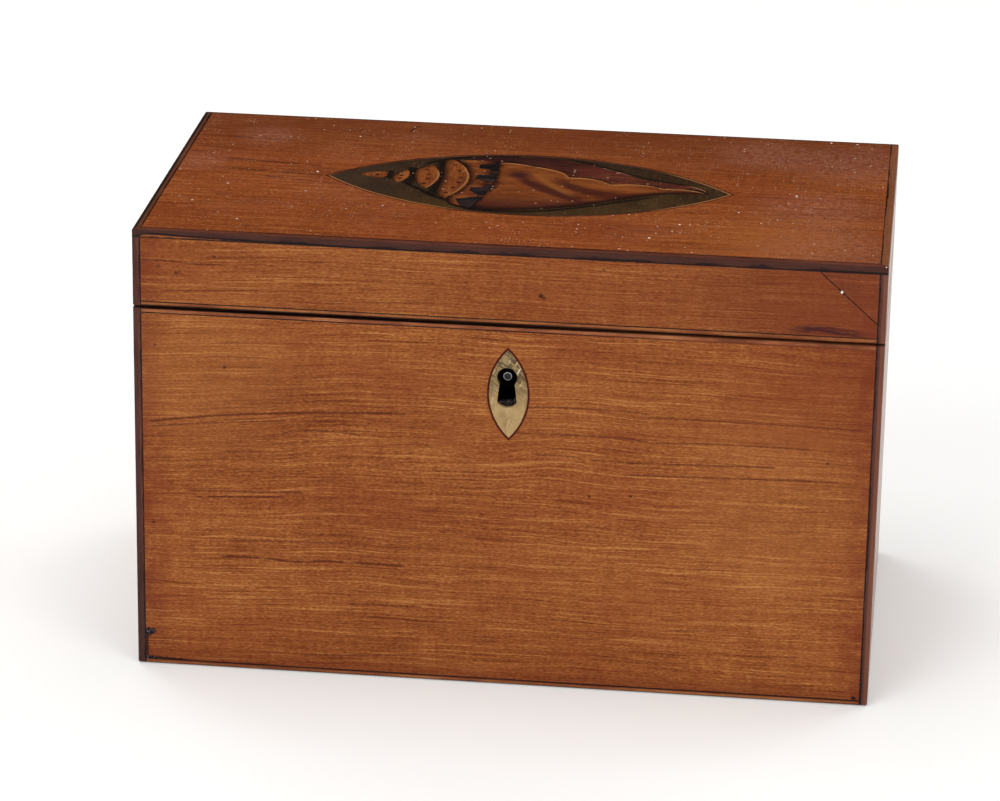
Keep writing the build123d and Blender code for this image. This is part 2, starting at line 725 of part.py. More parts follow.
shell = {
    "shell_whorls": whorls,
    "shell_crown": [crown],
    "shell_slips": [slips],
    "shell_body": [body_whorl],
    "shell_lip": [lip],
}
ground = pointed_oval(inlay_length, inlay_width, inlay_string + 2 * saw_kerf)
for name, outlines in shell.items():
    nodes[name] = laid([piece for outline in outlines for piece in sawn(outline)])
    for outline in outlines:
        for face in outline.faces():
            ground = ground - [face] - saw_line(face)
nodes["inlay_ground"] = laid([face for face in ground.faces() if face.area > least_piece])
string_ring = (pointed_oval(inlay_length, inlay_width, saw_kerf)
               - pointed_oval(inlay_length, inlay_width, saw_kerf + inlay_string))
nodes["inlay_string"] = laid([string_ring])

inlay_pocket = extrude(Pos(0, 0, lid_board_top) * pointed_oval(inlay_length, inlay_width), amount=veneer)
nodes["lid_top_veneer"] = top_sheet - inlay_pocket


# Lining papers
floor_top = bottom_thickness + paper
nodes["floor_paper"] = block(-well_width, well_width, -well_depth, well_depth, bottom_thickness, floor_top)


def wall_papers(z0, z1):
    """Papers on the four inner walls between two heights, front first."""
    front = block(-well_width, well_width, -well_depth, -well_depth + paper, z0, z1)
    back = block(-well_width, well_width, well_depth - paper, well_depth, z0, z1)
    sides = [
        block(sx * (well_width - paper), sx * well_width, -well_depth + paper, well_depth - paper, z0, z1)
        for sx in (-1, 1)
    ]
    return [front, back] + sides


case_papers = wall_papers(floor_top, body_top - paper_margin)
window_half_width = plate_half_width + paper_margin
lock_window = block(-window_half_width, window_half_width, plate_back - overcut, plate_back + overcut,
                    body_top - plate_drop - paper_margin, body_top)
case_papers[0] = case_papers[0] - lock_window
nodes["wall_papers"] = solids_of(*case_papers)

ceiling = block(-well_width, well_width, -well_depth, well_depth, rail_top - paper, rail_top)
nodes["lid_papers"] = solids_of(ceiling, *wall_papers(lid_bottom + paper_margin, rail_top - paper))


os.makedirs("parts", exist_ok=True)
for name, shape in nodes.items():
    export_step(shape, f"parts/{name}.step")
print(len(nodes), "nodes")
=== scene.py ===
from math import cos, radians, sin

import bpy
import numpy as np
from mathutils import Matrix, Vector


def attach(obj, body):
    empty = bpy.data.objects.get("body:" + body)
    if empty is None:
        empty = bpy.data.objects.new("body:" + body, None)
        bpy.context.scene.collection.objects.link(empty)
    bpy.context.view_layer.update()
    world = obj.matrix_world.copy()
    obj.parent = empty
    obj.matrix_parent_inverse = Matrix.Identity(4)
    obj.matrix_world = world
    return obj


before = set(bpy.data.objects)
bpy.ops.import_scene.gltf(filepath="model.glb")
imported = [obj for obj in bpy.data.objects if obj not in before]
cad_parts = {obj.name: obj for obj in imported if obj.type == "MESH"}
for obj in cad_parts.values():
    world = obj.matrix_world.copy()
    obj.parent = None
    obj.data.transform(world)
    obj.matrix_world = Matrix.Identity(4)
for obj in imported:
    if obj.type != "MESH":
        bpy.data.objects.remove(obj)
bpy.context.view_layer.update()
mm = 0.001


# The camera stands a metre off, a little to the right and well above, behind a long lens.
# Its place, turn and lens were fitted to the box's nine visible corners in the 1000 x 801 picture.
camera_azimuth = 0.10643
camera_elevation = 0.35734
camera_roll = 0.01656
camera_place = Vector((104.265, -1038.546, 448.551)) * mm
focal_length_pixels = 4190.58
picture_width_pixels = 1000

back = Vector((
    sin(camera_azimuth) * cos(camera_elevation),
    -cos(camera_azimuth) * cos(camera_elevation),
    sin(camera_elevation),
))
level = Vector((0, 0, 1)).cross(back).normalized()
upright = back.cross(level)
camera_right = level * cos(camera_roll) + upright * sin(camera_roll)
camera_up = upright * cos(camera_roll) - level * sin(camera_roll)
camera_turn = Matrix((camera_right, camera_up, back)).transposed().to_4x4()
camera_data = bpy.data.cameras.new("camera")
camera_data.lens = camera_data.sensor_width * focal_length_pixels / picture_width_pixels
camera = bpy.data.objects.new("camera", camera_data)
camera.matrix_world = Matrix.Translation(camera_place) @ camera_turn
bpy.context.scene.collection.objects.link(camera)
bpy.context.scene.camera = camera
bpy.context.scene.view_settings.view_transform = "Standard"


# The room is a white paper floor under soft boxes, in a pale studio.
# The lens sees a white room. The polish sees one that is white at the horizon and dim higher up, so that the
# lid doesn't glare. The room's own light is a plain grey.
def linear(code):
    """The linear colour of an sRGB hex value. Each channel v becomes ((v + 0.055) / 1.055) ** 2.4, or
    v / 12.92 near black."""
    parts = np.array([int(code[k:k + 2], 16) / 255 for k in (1, 3, 5)])
    return (*np.where(parts > 0.04045, ((parts + 0.055) / 1.055) ** 2.4, parts / 12.92), 1.0)


def add(tree, kind, feed=None, out=0, stops=None, **settings):
    """Adds one shader node and gives one of its outputs. feed maps a socket, by its number or name, to a
    value, hex colour or link. stops are the places and hex colours of a ramp."""
    made = tree.nodes.new("ShaderNode" + kind)
    for name, value in settings.items():
        setattr(made, name, value)
    for socket, value in (feed or {}).items():
        if isinstance(value, bpy.types.NodeSocket):
            tree.links.new(value, made.inputs[socket])
        else:
            made.inputs[socket].default_value = linear(value) if isinstance(value, str) else value
    if stops:
        for _ in stops[2:]:
            made.color_ramp.elements.new(1.0)
        for element, (place, colour) in zip(made.color_ramp.elements, stops):
            element.position = place
            element.color = linear(colour)
    return made.outputs[out]


def step(tree, value, start_at, end_at, start=0.0, end=1.0):
    """A smooth step from start, where the value is start_at, to end, where it is end_at, either way up."""
    return add(tree, "MapRange", {0: value, 1: start_at, 2: end_at, 3: start, 4: end},
               interpolation_type="SMOOTHSTEP")


def times(tree, product, *masks):
    """The product of some masks."""
    for mask in masks:
        product = add(tree, "Math", {0: product, 1: mask}, operation="MULTIPLY")
    return product


room_light = 0.42
white_below = 0.0       # sine of the height over the horizon
dim_above = 0.07
dim_level = 0.035

world = bpy.data.worlds.new("pale_studio")
world.use_nodes = True
tree = world.node_tree
bpy.context.scene.world = world
height = add(tree, "SeparateXYZ", {0: add(tree, "TexCoord", out="Generated")}, out="Z")
seen = step(tree, height, white_below, dim_above, 1.0, dim_level)
ray = add(tree, "LightPath").node.outputs
in_polish = add(tree, "Math", {0: ray["Is Glossy Ray"], 1: ray["Is Transmission Ray"]}, operation="MAXIMUM")
strength = add(tree, "Mix", {0: in_polish, 2: room_light, 3: seen})
strength = add(tree, "Mix", {0: ray["Is Camera Ray"], 2: strength, 3: 1.0})
background = tree.nodes["Background"]
background.inputs["Color"].default_value = linear("#ffffff")
tree.links.new(strength, background.inputs["Strength"])

faced_height = 0.06       # of the box's middle, in metres, which every lamp faces
lamps = [
    # name, place in metres, size, power, and whether the polish shows it
    ("key_left_of_camera", (-0.9, -1.7, 1.3), 1.1, 16.0, True),
    ("fill_right_of_camera", (1.3, -1.3, 0.9), 0.9, 7.5, True),
    ("overhead", (-0.1, 0.0, 1.7), 1.2, 9.5, False),
    ("rear_left", (-1.1, 1.2, 1.5), 0.9, 5.5, False),
    ("rear_right", (1.2, 1.1, 1.5), 0.9, 5.5, False),
]
for name, place, size, power, shown in lamps:
    lamp = bpy.data.lights.new(name, "AREA")
    lamp.size = size
    lamp.energy = power
    holder = bpy.data.objects.new(name, lamp)
    holder.location = place
    holder.rotation_euler = (Vector(place) - Vector((0, 0, faced_height))).to_track_quat("Z", "Y").to_euler()
    holder.visible_glossy = shown
    bpy.context.scene.collection.objects.link(holder)

floor_half = 5.0
floor_drop = 0.2 * mm     # just under the box, so that the underside stays clear of it
floor_mesh = bpy.data.meshes.new("paper_floor")
corners = [(sx * floor_half, sy * floor_half, -floor_drop) for sx, sy in ((-1, -1), (1, -1), (1, 1), (-1, 1))]
floor_mesh.from_pydata(corners, [], [(0, 1, 2, 3)])
floor = bpy.data.objects.new("paper_floor", floor_mesh)
bpy.context.scene.collection.objects.link(floor)


def new_finish(name):
    """A new material and its node tree."""
    material = bpy.data.materials.new(name)
    material.use_nodes = True
    return material, material.node_tree


paper_glow = 0.16         # lifts the lit paper to white for the lens, and leaves the box's shadow on it
material, tree = new_finish("matt_white_paper")
shader = tree.nodes["Principled BSDF"]
shader.inputs["Base Color"].default_value = linear("#f2f2f0")
shader.inputs["Roughness"].default_value = 0.9
shader.inputs["Specular IOR Level"].default_value = 0.1
shader.inputs["Emission Color"].default_value = linear("#ffffff")
ray = add(tree, "LightPath").node.outputs
watched = ray["Is Camera Ray"]
for kind in ("Is Glossy Ray", "Is Transmission Ray"):
    watched = add(tree, "Math", {0: watched, 1: ray[kind]}, operation="MAXIMUM")
tree.links.new(times(tree, watched, paper_glow), shader.inputs["Emission Strength"])
behind = add(tree, "NewGeometry", out="Backfacing")
seen = add(tree, "MixShader", {0: behind, 1: shader.outputs[0], 2: add(tree, "BsdfTransparent")})
tree.links.new(seen, tree.nodes["Material Output"].inputs["Surface"])
floor_mesh.materials.append(material)


# The carcass is Honduras mahogany, planed by hand and rebated together with hide glue.
# It shows at the rims, inside the lid and round the lock: a red-brown wood with short dark pores. The keyhole
# through the front board is painted black, as painted shade in its depth.
def along_grain(tree, order="XYZ"):
    """Object coordinates in millimetres, in an order of axes that puts the grain's first."""
    place = add(tree, "VectorMath", {0: add(tree, "TexCoord", out="Object"), "Scale": 1 / mm},
                operation="SCALE")
    axes = add(tree, "SeparateXYZ", {0: place}).node.outputs
    return add(tree, "CombineXYZ", {k: axes["XYZ".index(axis)] for k, axis in enumerate(order)})


def fibres(tree, grain, length, width, seed, detail=2.0):
    """Noise from 0 to 1 in long cells, of a length and width in millimetres."""
    cells = (1 / length, 1 / width, 1 / width)
    start = (seed * 3.1, seed * 7.7, seed * 1.3)
    place = add(tree, "VectorMath", {0: grain, 1: cells, 2: start}, operation="MULTIPLY_ADD")
    return add(tree, "TexNoise", {"Vector": place, "Scale": 1.0, "Detail": detail, "Roughness": 0.55})


def weigh(tree, parts, base=0.5):
    """The sum of a base and of each part's distance from one half, times its weight."""
    total = base
    for socket, weight in parts:
        from_half = add(tree, "Math", {0: socket, 1: 0.5}, operation="SUBTRACT")
        total = add(tree, "Math", {0: from_half, 1: weight, 2: total}, operation="MULTIPLY_ADD")
    return total


def away(tree, value, middle=0.0):
    """How far a value lies from a middle one, on either side."""
    past = add(tree, "Math", {0: value, 1: middle}, operation="SUBTRACT")
    return add(tree, "Math", {0: past}, operation="ABSOLUTE")


def lay(tree, colour, *coats):
    """A colour under coats laid on in turn. A coat is a mask, its own colour and its greatest strength."""
    # Mix holds its colours at inputs 6 and 7 and output 2, under names that its other sockets have too
    for mask, coat, strength in coats:
        share = times(tree, mask, strength)
        colour = add(tree, "Mix", {0: share, 6: colour, 7: coat}, out=2, data_type="RGBA")
    return colour


def spot(tree, plan, centre, radius, soft):
    """1 within a radius of a place in the plan's first two axes, falling smoothly to 0 over a soft edge."""
    flat = add(tree, "VectorMath", {0: plan, 1: (1.0, 1.0, 0.0)}, operation="MULTIPLY")
    distance = add(tree, "VectorMath", {0: flat, 1: (*centre, 0.0)}, out="Value", operation="DISTANCE")
    return step(tree, distance, radius + soft, radius)


def surface(tree, colour, tone, roughness, depth, gloss, metal=0.0, relief=None, tones=(0.2, 0.8)):
    """Links a finish to the shader: its colour, its roughness, which goes from one value to another over a
    span of tones, and a relief of a depth in millimetres, which follows the tone unless another is given."""
    shader = tree.nodes["Principled BSDF"]
    height = tone if relief is None else relief
    tree.links.new(colour, shader.inputs["Base Color"])
    tree.links.new(step(tree, tone, *tones, *roughness), shader.inputs["Roughness"])
    tree.links.new(add(tree, "Bump", {"Height": height, "Distance": depth * mm}), shader.inputs["Normal"])
    shader.inputs["Specular IOR Level"].default_value = gloss
    shader.inputs["Metallic"].default_value = metal


def dress(material, *names):
    """Gives a finish to some of the box's pieces."""
    for name in names:
        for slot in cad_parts[name].material_slots:
            slot.material = material


key_axis = (0.65, 84.5)       # X and Z of the drill pin, in millimetres
keyhole_middle = (0.65, 81.4)
keyhole_reach = 5.6


def solid_wood(name, order, seed, stops, ring_width, pore_depth=0.125, wear_and_painted_light=None):
    """Planed solid wood. Growth rings, fibres and short dark pores run along the grain, and hand grease and
    dust make soft patches across it. Further coats go on the colour: dirt on the pine, painted shade round
    the keyhole."""
    material, tree = new_finish(name)
    grain = along_grain(tree, order)
    rings = fibres(tree, grain, ring_width * 40, ring_width, seed)
    strands = fibres(tree, grain, 9, 0.45, seed + 1)
    pores = step(tree, fibres(tree, grain, 2.6, 0.3, seed + 2, 1.0), 0.60, 0.72)
    patches = fibres(tree, grain, 35, 20, seed + 3)
    tone = weigh(tree, [(rings, 0.9), (strands, 0.6), (patches, 0.7), (pores, -pore_depth)])
    colour = add(tree, "ValToRGB", {0: tone}, stops=stops)
    if wear_and_painted_light:
        colour = lay(tree, colour, *wear_and_painted_light(tree, grain))
    surface(tree, colour, tone, (0.62, 0.5), depth=0.05, gloss=0.2)
    return material


def keyhole_painted_shade(tree, grain):
    """Painted shade: black in and round the keyhole, standing for the shade in its depth."""
    return [(spot(tree, grain, keyhole_middle, keyhole_reach, 1.0), "#0d0705", 0.97)]


mahogany_tones = [(0.25, "#34170e"), (0.42, "#532717"), (0.58, "#6c3823"), (0.78, "#854d32")]
dress(solid_wood("planed_mahogany_front_board", "XZY", 2.0, mahogany_tones, 2.4, wear_and_painted_light=keyhole_painted_shade),
      "front_board")
dress(solid_wood("planed_mahogany_long_boards", "XZY", 1.0, mahogany_tones, 2.4),
      "back_board", "lid_front_rail", "lid_back_rail")
dress(solid_wood("planed_mahogany_side_boards", "YZX", 5.0, mahogany_tones, 2.4),
      "left_board", "right_board", "lid_left_rail", "lid_right_rail")


# The bottom is a pine board in a rebate, held by cut steel brads whose heads have rusted into it.
# Two centuries on shelves have left it grey-brown and grubby, with rust stains round the heads.
pine_tones = [(0.22, "#4f3620"), (0.42, "#7a5936"), (0.60, "#957248"), (0.80, "#a9875a")]
brad_heads = [(x, side * 45.3) for side in (-1, 1) for x in (-70.0, 0.0, 70.0)]
brad_heads += [(side * 87.8, y) for side in (-1, 1) for y in (-30.0, 30.0)]


def shelf_wear(tree, plan):
    """Long pale scuffs, patches of dirt, and rust round the brads' heads."""
    scuffs = step(tree, fibres(tree, plan, 60, 1.6, 12.0), 0.58, 0.70)
    dirt_and_shade = step(tree, fibres(tree, plan, 22, 16, 13.0, 4.0), 0.48, 0.66)
    rust = [(spot(tree, plan, centre, 0.9, 2.2), "#3d1f10", 0.75) for centre in brad_heads]
    return [(scuffs, "#b8a078", 0.35), (dirt_and_shade, "#3a2a1c", 0.5), *rust]


dress(solid_wood("grubby_pine", "XYZ", 9.0, pine_tones, 3.2, 0.05, shelf_wear), "bottom_board")

material, tree = new_finish("rusted_cut_steel")
rust = fibres(tree, along_grain(tree), 1.1, 1.1, 14.0, 4.0)
colour = add(tree, "ValToRGB", {0: rust}, stops=[(0.35, "#2c2522"), (0.52, "#4a2f20"), (0.66, "#6d4226")])
surface(tree, colour, rust, (0.5, 0.9), depth=0.08, gloss=0.5, metal=0.6, tones=(0.3, 0.7))
dress(material, "bottom_brads")


# The lock is hand-made: a filed brass plate and selvedge, with iron works under an iron cap.
# Old lacquer has gone, so the brass is dull gold with brown tarnish in patches and fine file marks. Behind
# the keyhole, plate and cap are painted black, as painted shade in the keyhole's depth.
plate_front = -44.8


def aged_metal(name, stops, bright_below, metal, roughness, scratch_depth=0.01, keyhole_shade_front=False):
    """Filed metal. Tarnish grows in soft patches, and fine straight scratches cross it in one direction."""
    material, tree = new_finish(name)
    grain = along_grain(tree, "XZY")
    scratches = fibres(tree, grain, 6.0, 0.09, 7.0, 1.0)
    tone = weigh(tree, [
        (fibres(tree, grain, 4.5, 4.0, 2.0, 4.0), 1.0), (fibres(tree, grain, 0.7, 0.6, 5.0), 0.45),
        (scratches, 0.3),
    ])
    colour = add(tree, "ValToRGB", {0: tone}, stops=stops)
    # Painted shade: the plate's front behind the keyhole is laid black.
    if keyhole_shade_front:
        toward_back = add(tree, "SeparateXYZ", {0: grain}, out="Z")
        keyhole_shade = times(tree, spot(tree, grain, keyhole_middle, keyhole_reach, 3.0),
                    step(tree, toward_back, plate_front + 0.6, plate_front + 0.2))
        colour = lay(tree, colour, (keyhole_shade, "#080605", 1.0))
    surface(tree, colour, tone, (roughness + 0.25, roughness), depth=scratch_depth, gloss=0.5, metal=metal,
            relief=scratches, tones=(bright_below, bright_below + 0.35))
    return material


brass_tones = [(0.25, "#4e3a1e"), (0.42, "#8a6a38"), (0.55, "#b08c4e"), (0.75, "#cfae6c")]
iron_tones = [(0.25, "#1a1512"), (0.45, "#2b2521"), (0.58, "#3f3833"), (0.78, "#5f5850")]
keyhole_shade_iron_tones = [(0.25, "#0a0807"), (0.50, "#120f0d"), (0.78, "#201b18")]
old_brass = aged_metal("tarnished_filed_brass", brass_tones, 0.3, 1.0, 0.28)
dress(old_brass, "lock_screws")
dress(aged_metal("tarnished_brass_lock_plate", brass_tones, 0.3, 1.0, 0.28, keyhole_shade_front=True), "lock_plate")
dress(aged_metal("oiled_iron_works", iron_tones, 0.35, 0.85, 0.36, 0.02),
      "lock_rivets", "bolt_stumps", "lock_bolt", "bolt_spring")
# The cap, seen only through the keyhole, is painted near black as the keyhole's shade.
dress(aged_metal("iron_cap_black_as_keyhole_shade", keyhole_shade_iron_tones, 0.35, 0.3, 0.5, 0.02), "lock_cap")


# The drill pin is a turned iron rod that the key's pipe slides over.
# Keys have rubbed the edge of its nose to a thin ring, painted near white as a highlight, round a face with a
# dimple that is painted near black as the keyhole's shade and flecked with painted grey glints.
ring_inner, ring_outer, ring_soft = 0.88, 1.02, 0.08
material, tree = new_finish("key_worn_iron_pin_with_painted_highlight")
plan = along_grain(tree, "XZY")
face = spot(tree, plan, key_axis, ring_inner, ring_soft)
ring = times(tree, spot(tree, plan, key_axis, ring_outer, ring_soft),
             add(tree, "Math", {0: 1.0, 1: face}, operation="SUBTRACT"))
wear_and_painted_light = fibres(tree, plan, 0.5, 0.45, 17.0)
# Painted light and shade: the near-black face, grey glints, and a near-white highlight on the rubbed ring.
colour = lay(tree, "#050404", (step(tree, wear_and_painted_light, 0.56, 0.64), "#3c383b", 1.0),
             (times(tree, ring, step(tree, wear_and_painted_light, 0.25, 0.5)), "#f0eef4", 0.95))
surface(tree, colour, wear_and_painted_light, (0.3, 0.5), depth=0.02, gloss=0.5, metal=0.3, tones=(0.35, 0.65))
dress(material, "drill_pin")


# Two cast brass butt hinges are let into the back boards, and turn on brass pins.
# The screws are hand-filed, and their slots have filled with dark wax.
dress(old_brass, "lower_hinge_leaf_left", "lower_hinge_leaf_right", "lower_hinge_screws", "hinge_pins",
      "upper_hinge_leaf_left", "upper_hinge_leaf_right", "upper_hinge_screws")


# The case is faced with saw-cut satinwood, polished with shellac and then two centuries of wax.
# It has gone from lemon yellow to a warm orange-brown. Short wavy fibres, some pale and silky and some dark,
# lie in columns that catch the light, among fine pores. Dirt is rubbed in at the ends, by the stringing.
def satinwood(name, order, seed, stops, bend=None):
    """A satinwood sheet, but for its polish. The grain wanders by slow noise, and on that bent grain lie
    bands, fibres, silky streaks, dark streaks and pores, each a stretched noise of its own real size."""
    material, tree = new_finish(name)
    grain = along_grain(tree, order)
    wander = weigh(tree, [
        (fibres(tree, grain, 60, 26, seed), 3.2), (fibres(tree, grain, 20, 7, seed + 1), 1.3),
    ], 0.0)
    if bend:
        wander = add(tree, "Math", {0: wander, 1: bend(tree, grain)}, operation="SUBTRACT")
    bent = add(tree, "VectorMath", {0: grain, 1: add(tree, "CombineXYZ", {1: wander})}, operation="ADD")
    silk = step(tree, fibres(tree, bent, 26, 0.50, seed + 4, 1.0), 0.57, 0.70)
    growth = step(tree, fibres(tree, bent, 22, 0.42, seed + 5, 1.0), 0.58, 0.70)
    pores = step(tree, fibres(tree, bent, 1.5, 0.30, seed + 6, 1.0), 0.62, 0.74)
    tone = weigh(tree, [
        (fibres(tree, bent, 36, 0.38, seed + 3, 1.5), 0.42), (fibres(tree, bent, 70, 1.6, seed + 2), 0.20),
        (fibres(tree, bent, 7.0, 0.28, seed + 11, 1.0), 0.34),
        (fibres(tree, bent, 1.0, 0.28, seed + 8, 1.0), 0.66),
        (fibres(tree, grain, 1.8, 7, seed + 9, 1.0), 0.14), (fibres(tree, grain, 60, 28, seed + 7), 0.30),
        (silk, 0.17), (growth, -0.18), (pores, -0.16),
    ], 0.40)
    red = step(tree, fibres(tree, grain, 40, 18, seed + 10), 0.45, 0.7)
    colour = lay(tree, add(tree, "ValToRGB", {0: tone}, stops=stops), (red, "#873c1c", 0.25))
    return material, tree, grain, tone, colour


def past_curve(tree, plan, points, along=0):
    """How far across, in millimetres, a place lies past a smooth curve through some points, and how far along
    it is, from 0 to 1. The points are in the plan's first two axes, in rising order along one of them."""
    axes = add(tree, "SeparateXYZ", {0: plan}).node.outputs
    runs = [point[along] for point in points]
    rises = [point[1 - along] for point in points]
    low, span = min(rises), max(rises) - min(rises) or 1.0
    share = add(tree, "MapRange", {0: axes[along], 1: runs[0], 2: runs[-1]})
    made = add(tree, "FloatCurve", {"Value": share}).node
    curve = made.mapping.curves[0]
    first, *between, last = [
        ((run - runs[0]) / (runs[-1] - runs[0]), (rise - low) / span) for run, rise in zip(runs, rises)
    ]
    curve.points[0].location = first
    curve.points[1].location = last
    for place in between:
        curve.points.new(*place)
    made.mapping.update()
    height = add(tree, "Math", {0: made.outputs[0], 1: span, 2: low}, operation="MULTIPLY_ADD")
    return add(tree, "Math", {0: axes[1 - along], 1: height}, operation="SUBTRACT"), share


def drawn_line(tree, plan, points, width, along=0, ends=0.06):
    """A soft line of a half width through some points, fading out over a share of it at both ends."""
    past, share = past_curve(tree, plan, points, along)
    line = step(tree, away(tree, past), width, width * 0.3)
    return times(tree, line, step(tree, away(tree, share, 0.5), 0.5, 0.5 - ends))


def front_figure(tree, grain):
    """How far the front's grain has risen, in millimetres: up from the left end, most at the height of the
    escutcheon, and over a small bump to its right."""
    x, z = add(tree, "SeparateXYZ", {0: grain}).node.outputs[:2]
    most = step(tree, away(tree, z, 68.0), 0.0, 26.0, 6.0, 2.0)
    rise = times(tree, step(tree, x, -110.0, -20.0), most)
    bump = spot(tree, grain, (16.0, 72.0), 0.0, 22.0)
    return add(tree, "Math", {0: bump, 1: 1.6, 2: rise}, operation="MULTIPLY_ADD")


def ragged(tree, plan, pushes):
    """A plan that makes what is drawn on it ragged. Pushes gives, for an axis, a noise's length, width and
    seed, and the most that it pushes the axis, in millimetres."""
    moved = {
        axis: weigh(tree, [(fibres(tree, plan, *noise), most)], 0.0)
        for axis, (*noise, most) in pushes.items()
    }
    return add(tree, "VectorMath", {0: plan, 1: add(tree, "CombineXYZ", moved)}, operation="ADD")


def oval_line(tree, plan, centre, size, half_line, lean=0.0):
    """A soft line of a half width round a pointed oval of two equal arcs, long along the plan's first axis
    and leaning by an angle in radians. A place's distance past it is the larger of its distances from the
    arcs' two centres, less their radius."""
    length, width = size
    radius = ((length / 2) ** 2 + (width / 2) ** 2) / width
    reach = radius - width / 2
    flat = add(tree, "VectorMath", {0: plan, 1: (1.0, 1.0, 0.0)}, operation="MULTIPLY")
    distances = {}
    for k, side in enumerate((-1, 1)):
        arc_centre = (centre[0] - side * reach * sin(lean), centre[1] + side * reach * cos(lean), 0.0)
        distances[k] = add(tree, "VectorMath", {0: flat, 1: arc_centre}, out="Value", operation="DISTANCE")
    larger = add(tree, "Math", distances, operation="MAXIMUM")
    return step(tree, away(tree, larger, radius), half_line, half_line * 0.6)


satinwood_tones = [
    (0.18, "#642a0e"), (0.36, "#7f4119"), (0.50, "#935226"), (0.64, "#a86733"), (0.84, "#c08449"),
]
front_streaks = [
    # points, half width and strength
    ([(-94, 67.0), (-56, 71.7), (-22, 73.4)], 0.48, 0.80),
    ([(-92, 66.0), (-73, 68.2), (-55, 69.6)], 0.34, 0.58),
    ([(-57, 65.8), (-46, 67.4), (-36, 66.6)], 0.37, 0.72),
    ([(-82, 49.0), (-66, 49.6), (-50, 50.4)], 0.32, 0.65),
    ([(-80, 47.4), (-69, 48.0), (-56, 48.7)], 0.34, 0.94),
    ([(-74, 30.9), (-62, 31.4), (-54, 31.0), (-44, 31.6), (-24, 31.4)], 0.52, 0.87),
    ([(-40, 19.9), (-30, 20.2), (-20, 20.3)], 0.34, 0.72),
    ([(-72, 35.8), (-55, 36.4), (-40, 36.9)], 0.29, 0.51),
    ([(-52, 4.9), (-40, 5.4), (-22, 6.6)], 0.32, 0.58),
    ([(2, 76.0), (20, 77.3), (38, 76.0)], 0.33, 0.64),
    ([(-2, 68.7), (18, 70.0), (38, 68.8)], 0.33, 0.70),
    ([(8, 63.6), (14, 64.2), (20, 63.7)], 0.26, 0.64),
    ([(22, 63.5), (30, 63.4), (37, 63.1)], 0.26, 0.59),
    ([(33, 75.9), (64, 75.8), (92, 75.3)], 0.33, 0.53),
    ([(36, 68.6), (58, 69.6), (79, 69.5)], 0.30, 0.59),
    ([(30, 63.1), (50, 63.7), (70, 64.2)], 0.33, 0.64),
    ([(30, 59.9), (58, 60.6), (86, 61.1)], 0.30, 0.70),
    ([(44, 17.9), (50, 18.1), (56, 18.3)], 0.26, 0.59),
    ([(-93, 110.9), (-86, 111.0), (-80, 110.6), (-72, 110.7)], 0.23, 0.87),
    ([(-88, 103.1), (-76, 103.6), (-62, 104.4)], 0.25, 0.65),
]
front_flecks = [
    # place, radius and strength
    ((-89.5, 88.3), 0.15, 0.6), ((-71.6, 83.3), 0.25, 0.8), ((-23.9, 62.7), 0.15, 0.7),
    ((22.0, 53.6), 0.25, 0.9), ((32.7, 54.2), 0.20, 0.9), ((82.1, 66.1), 0.22, 0.7),
    ((8.8, 106.7), 0.45, 0.85), ((9.6, 106.2), 0.35, 0.6), ((24.4, 114.4), 0.22, 0.6),
    ((-73.9, 112.7), 0.22, 0.7), ((-83.7, 107.9), 0.25, 0.8), ((-82.9, 108.2), 0.15, 0.5),
    ((-88.2, 109.5), 0.50, 0.35), ((-63.0, 108.0), 0.20, 0.4), ((-90.4, 39.8), 0.22, 0.85),
    ((-92.0, 8.9), 1.05, 0.9), ((-90.7, 9.2), 0.55, 0.85), ((-92.5, 8.0), 0.55, 0.8),
    ((91.4, 2.0), 0.45, 0.8),
]
purple_stain = [(68.5, 100.3), (74, 101.5), (79, 101.7), (84, 101.2), (92.7, 100.5)]
base_dirt_line = [(-94, 1.9), (-89, 1.7), (-84, 1.5), (-78, 1.3)]
string_dirt_line = [(-92.5, 0.5), (-92.5, 4.0), (-92.6, 8.5)]
string_inner_x = 92.8
string_inner_y = 50.3
patch_seam = [(78.1, 116.8), (92.8, 103.7)]
escutcheon_middle = (80.1, 1.0)       # Z and X
escutcheon_size = (24.3, 10.4)
escutcheon_lean = radians(-1.2)

material, tree, grain, tone, colour = satinwood("waxed_satinwood_front", "XZY", 11.0, satinwood_tones,
                                                front_figure)
x, z = add(tree, "SeparateXYZ", {0: grain}).node.outputs[:2]
on_lid = step(tree, z, 98.0, 99.0)
grubby_end = times(tree, step(tree, away(tree, x), 84.0, string_inner_x),
                   step(tree, fibres(tree, grain, 5, 4, 23.0), 0.35, 0.6, 0.3, 1.0))
uneven = ragged(tree, grain, {0: (0.6, 0.5, 19.0, 0.9), 1: (0.8, 0.5, 20.0, 0.7)})
fading = step(tree, fibres(tree, grain, 7, 3, 21.0), 0.22, 0.45)
streaks = [(times(tree, drawn_line(tree, uneven, points, width), fading), "#541d0b", strength)
           for points, width, strength in front_streaks]
flecks = [(spot(tree, uneven, centre, radius, 0.3), "#3a130b", strength)
          for centre, radius, strength in front_flecks]
purple = times(tree, drawn_line(tree, uneven, purple_stain, 1.5, ends=0.3),
               step(tree, fibres(tree, grain, 5, 0.6, 22.0), 0.35, 0.60, 0.5, 1.0))
glints = times(tree, spot(tree, grain, (-91.9, 9.0), 1.2, 0.4),
               step(tree, fibres(tree, grain, 0.5, 0.4, 24.0), 0.58, 0.66))
mastic = oval_line(tree, add(tree, "CombineXYZ", {0: z, 1: x}), escutcheon_middle, escutcheon_size, 0.34,
                   escutcheon_lean)
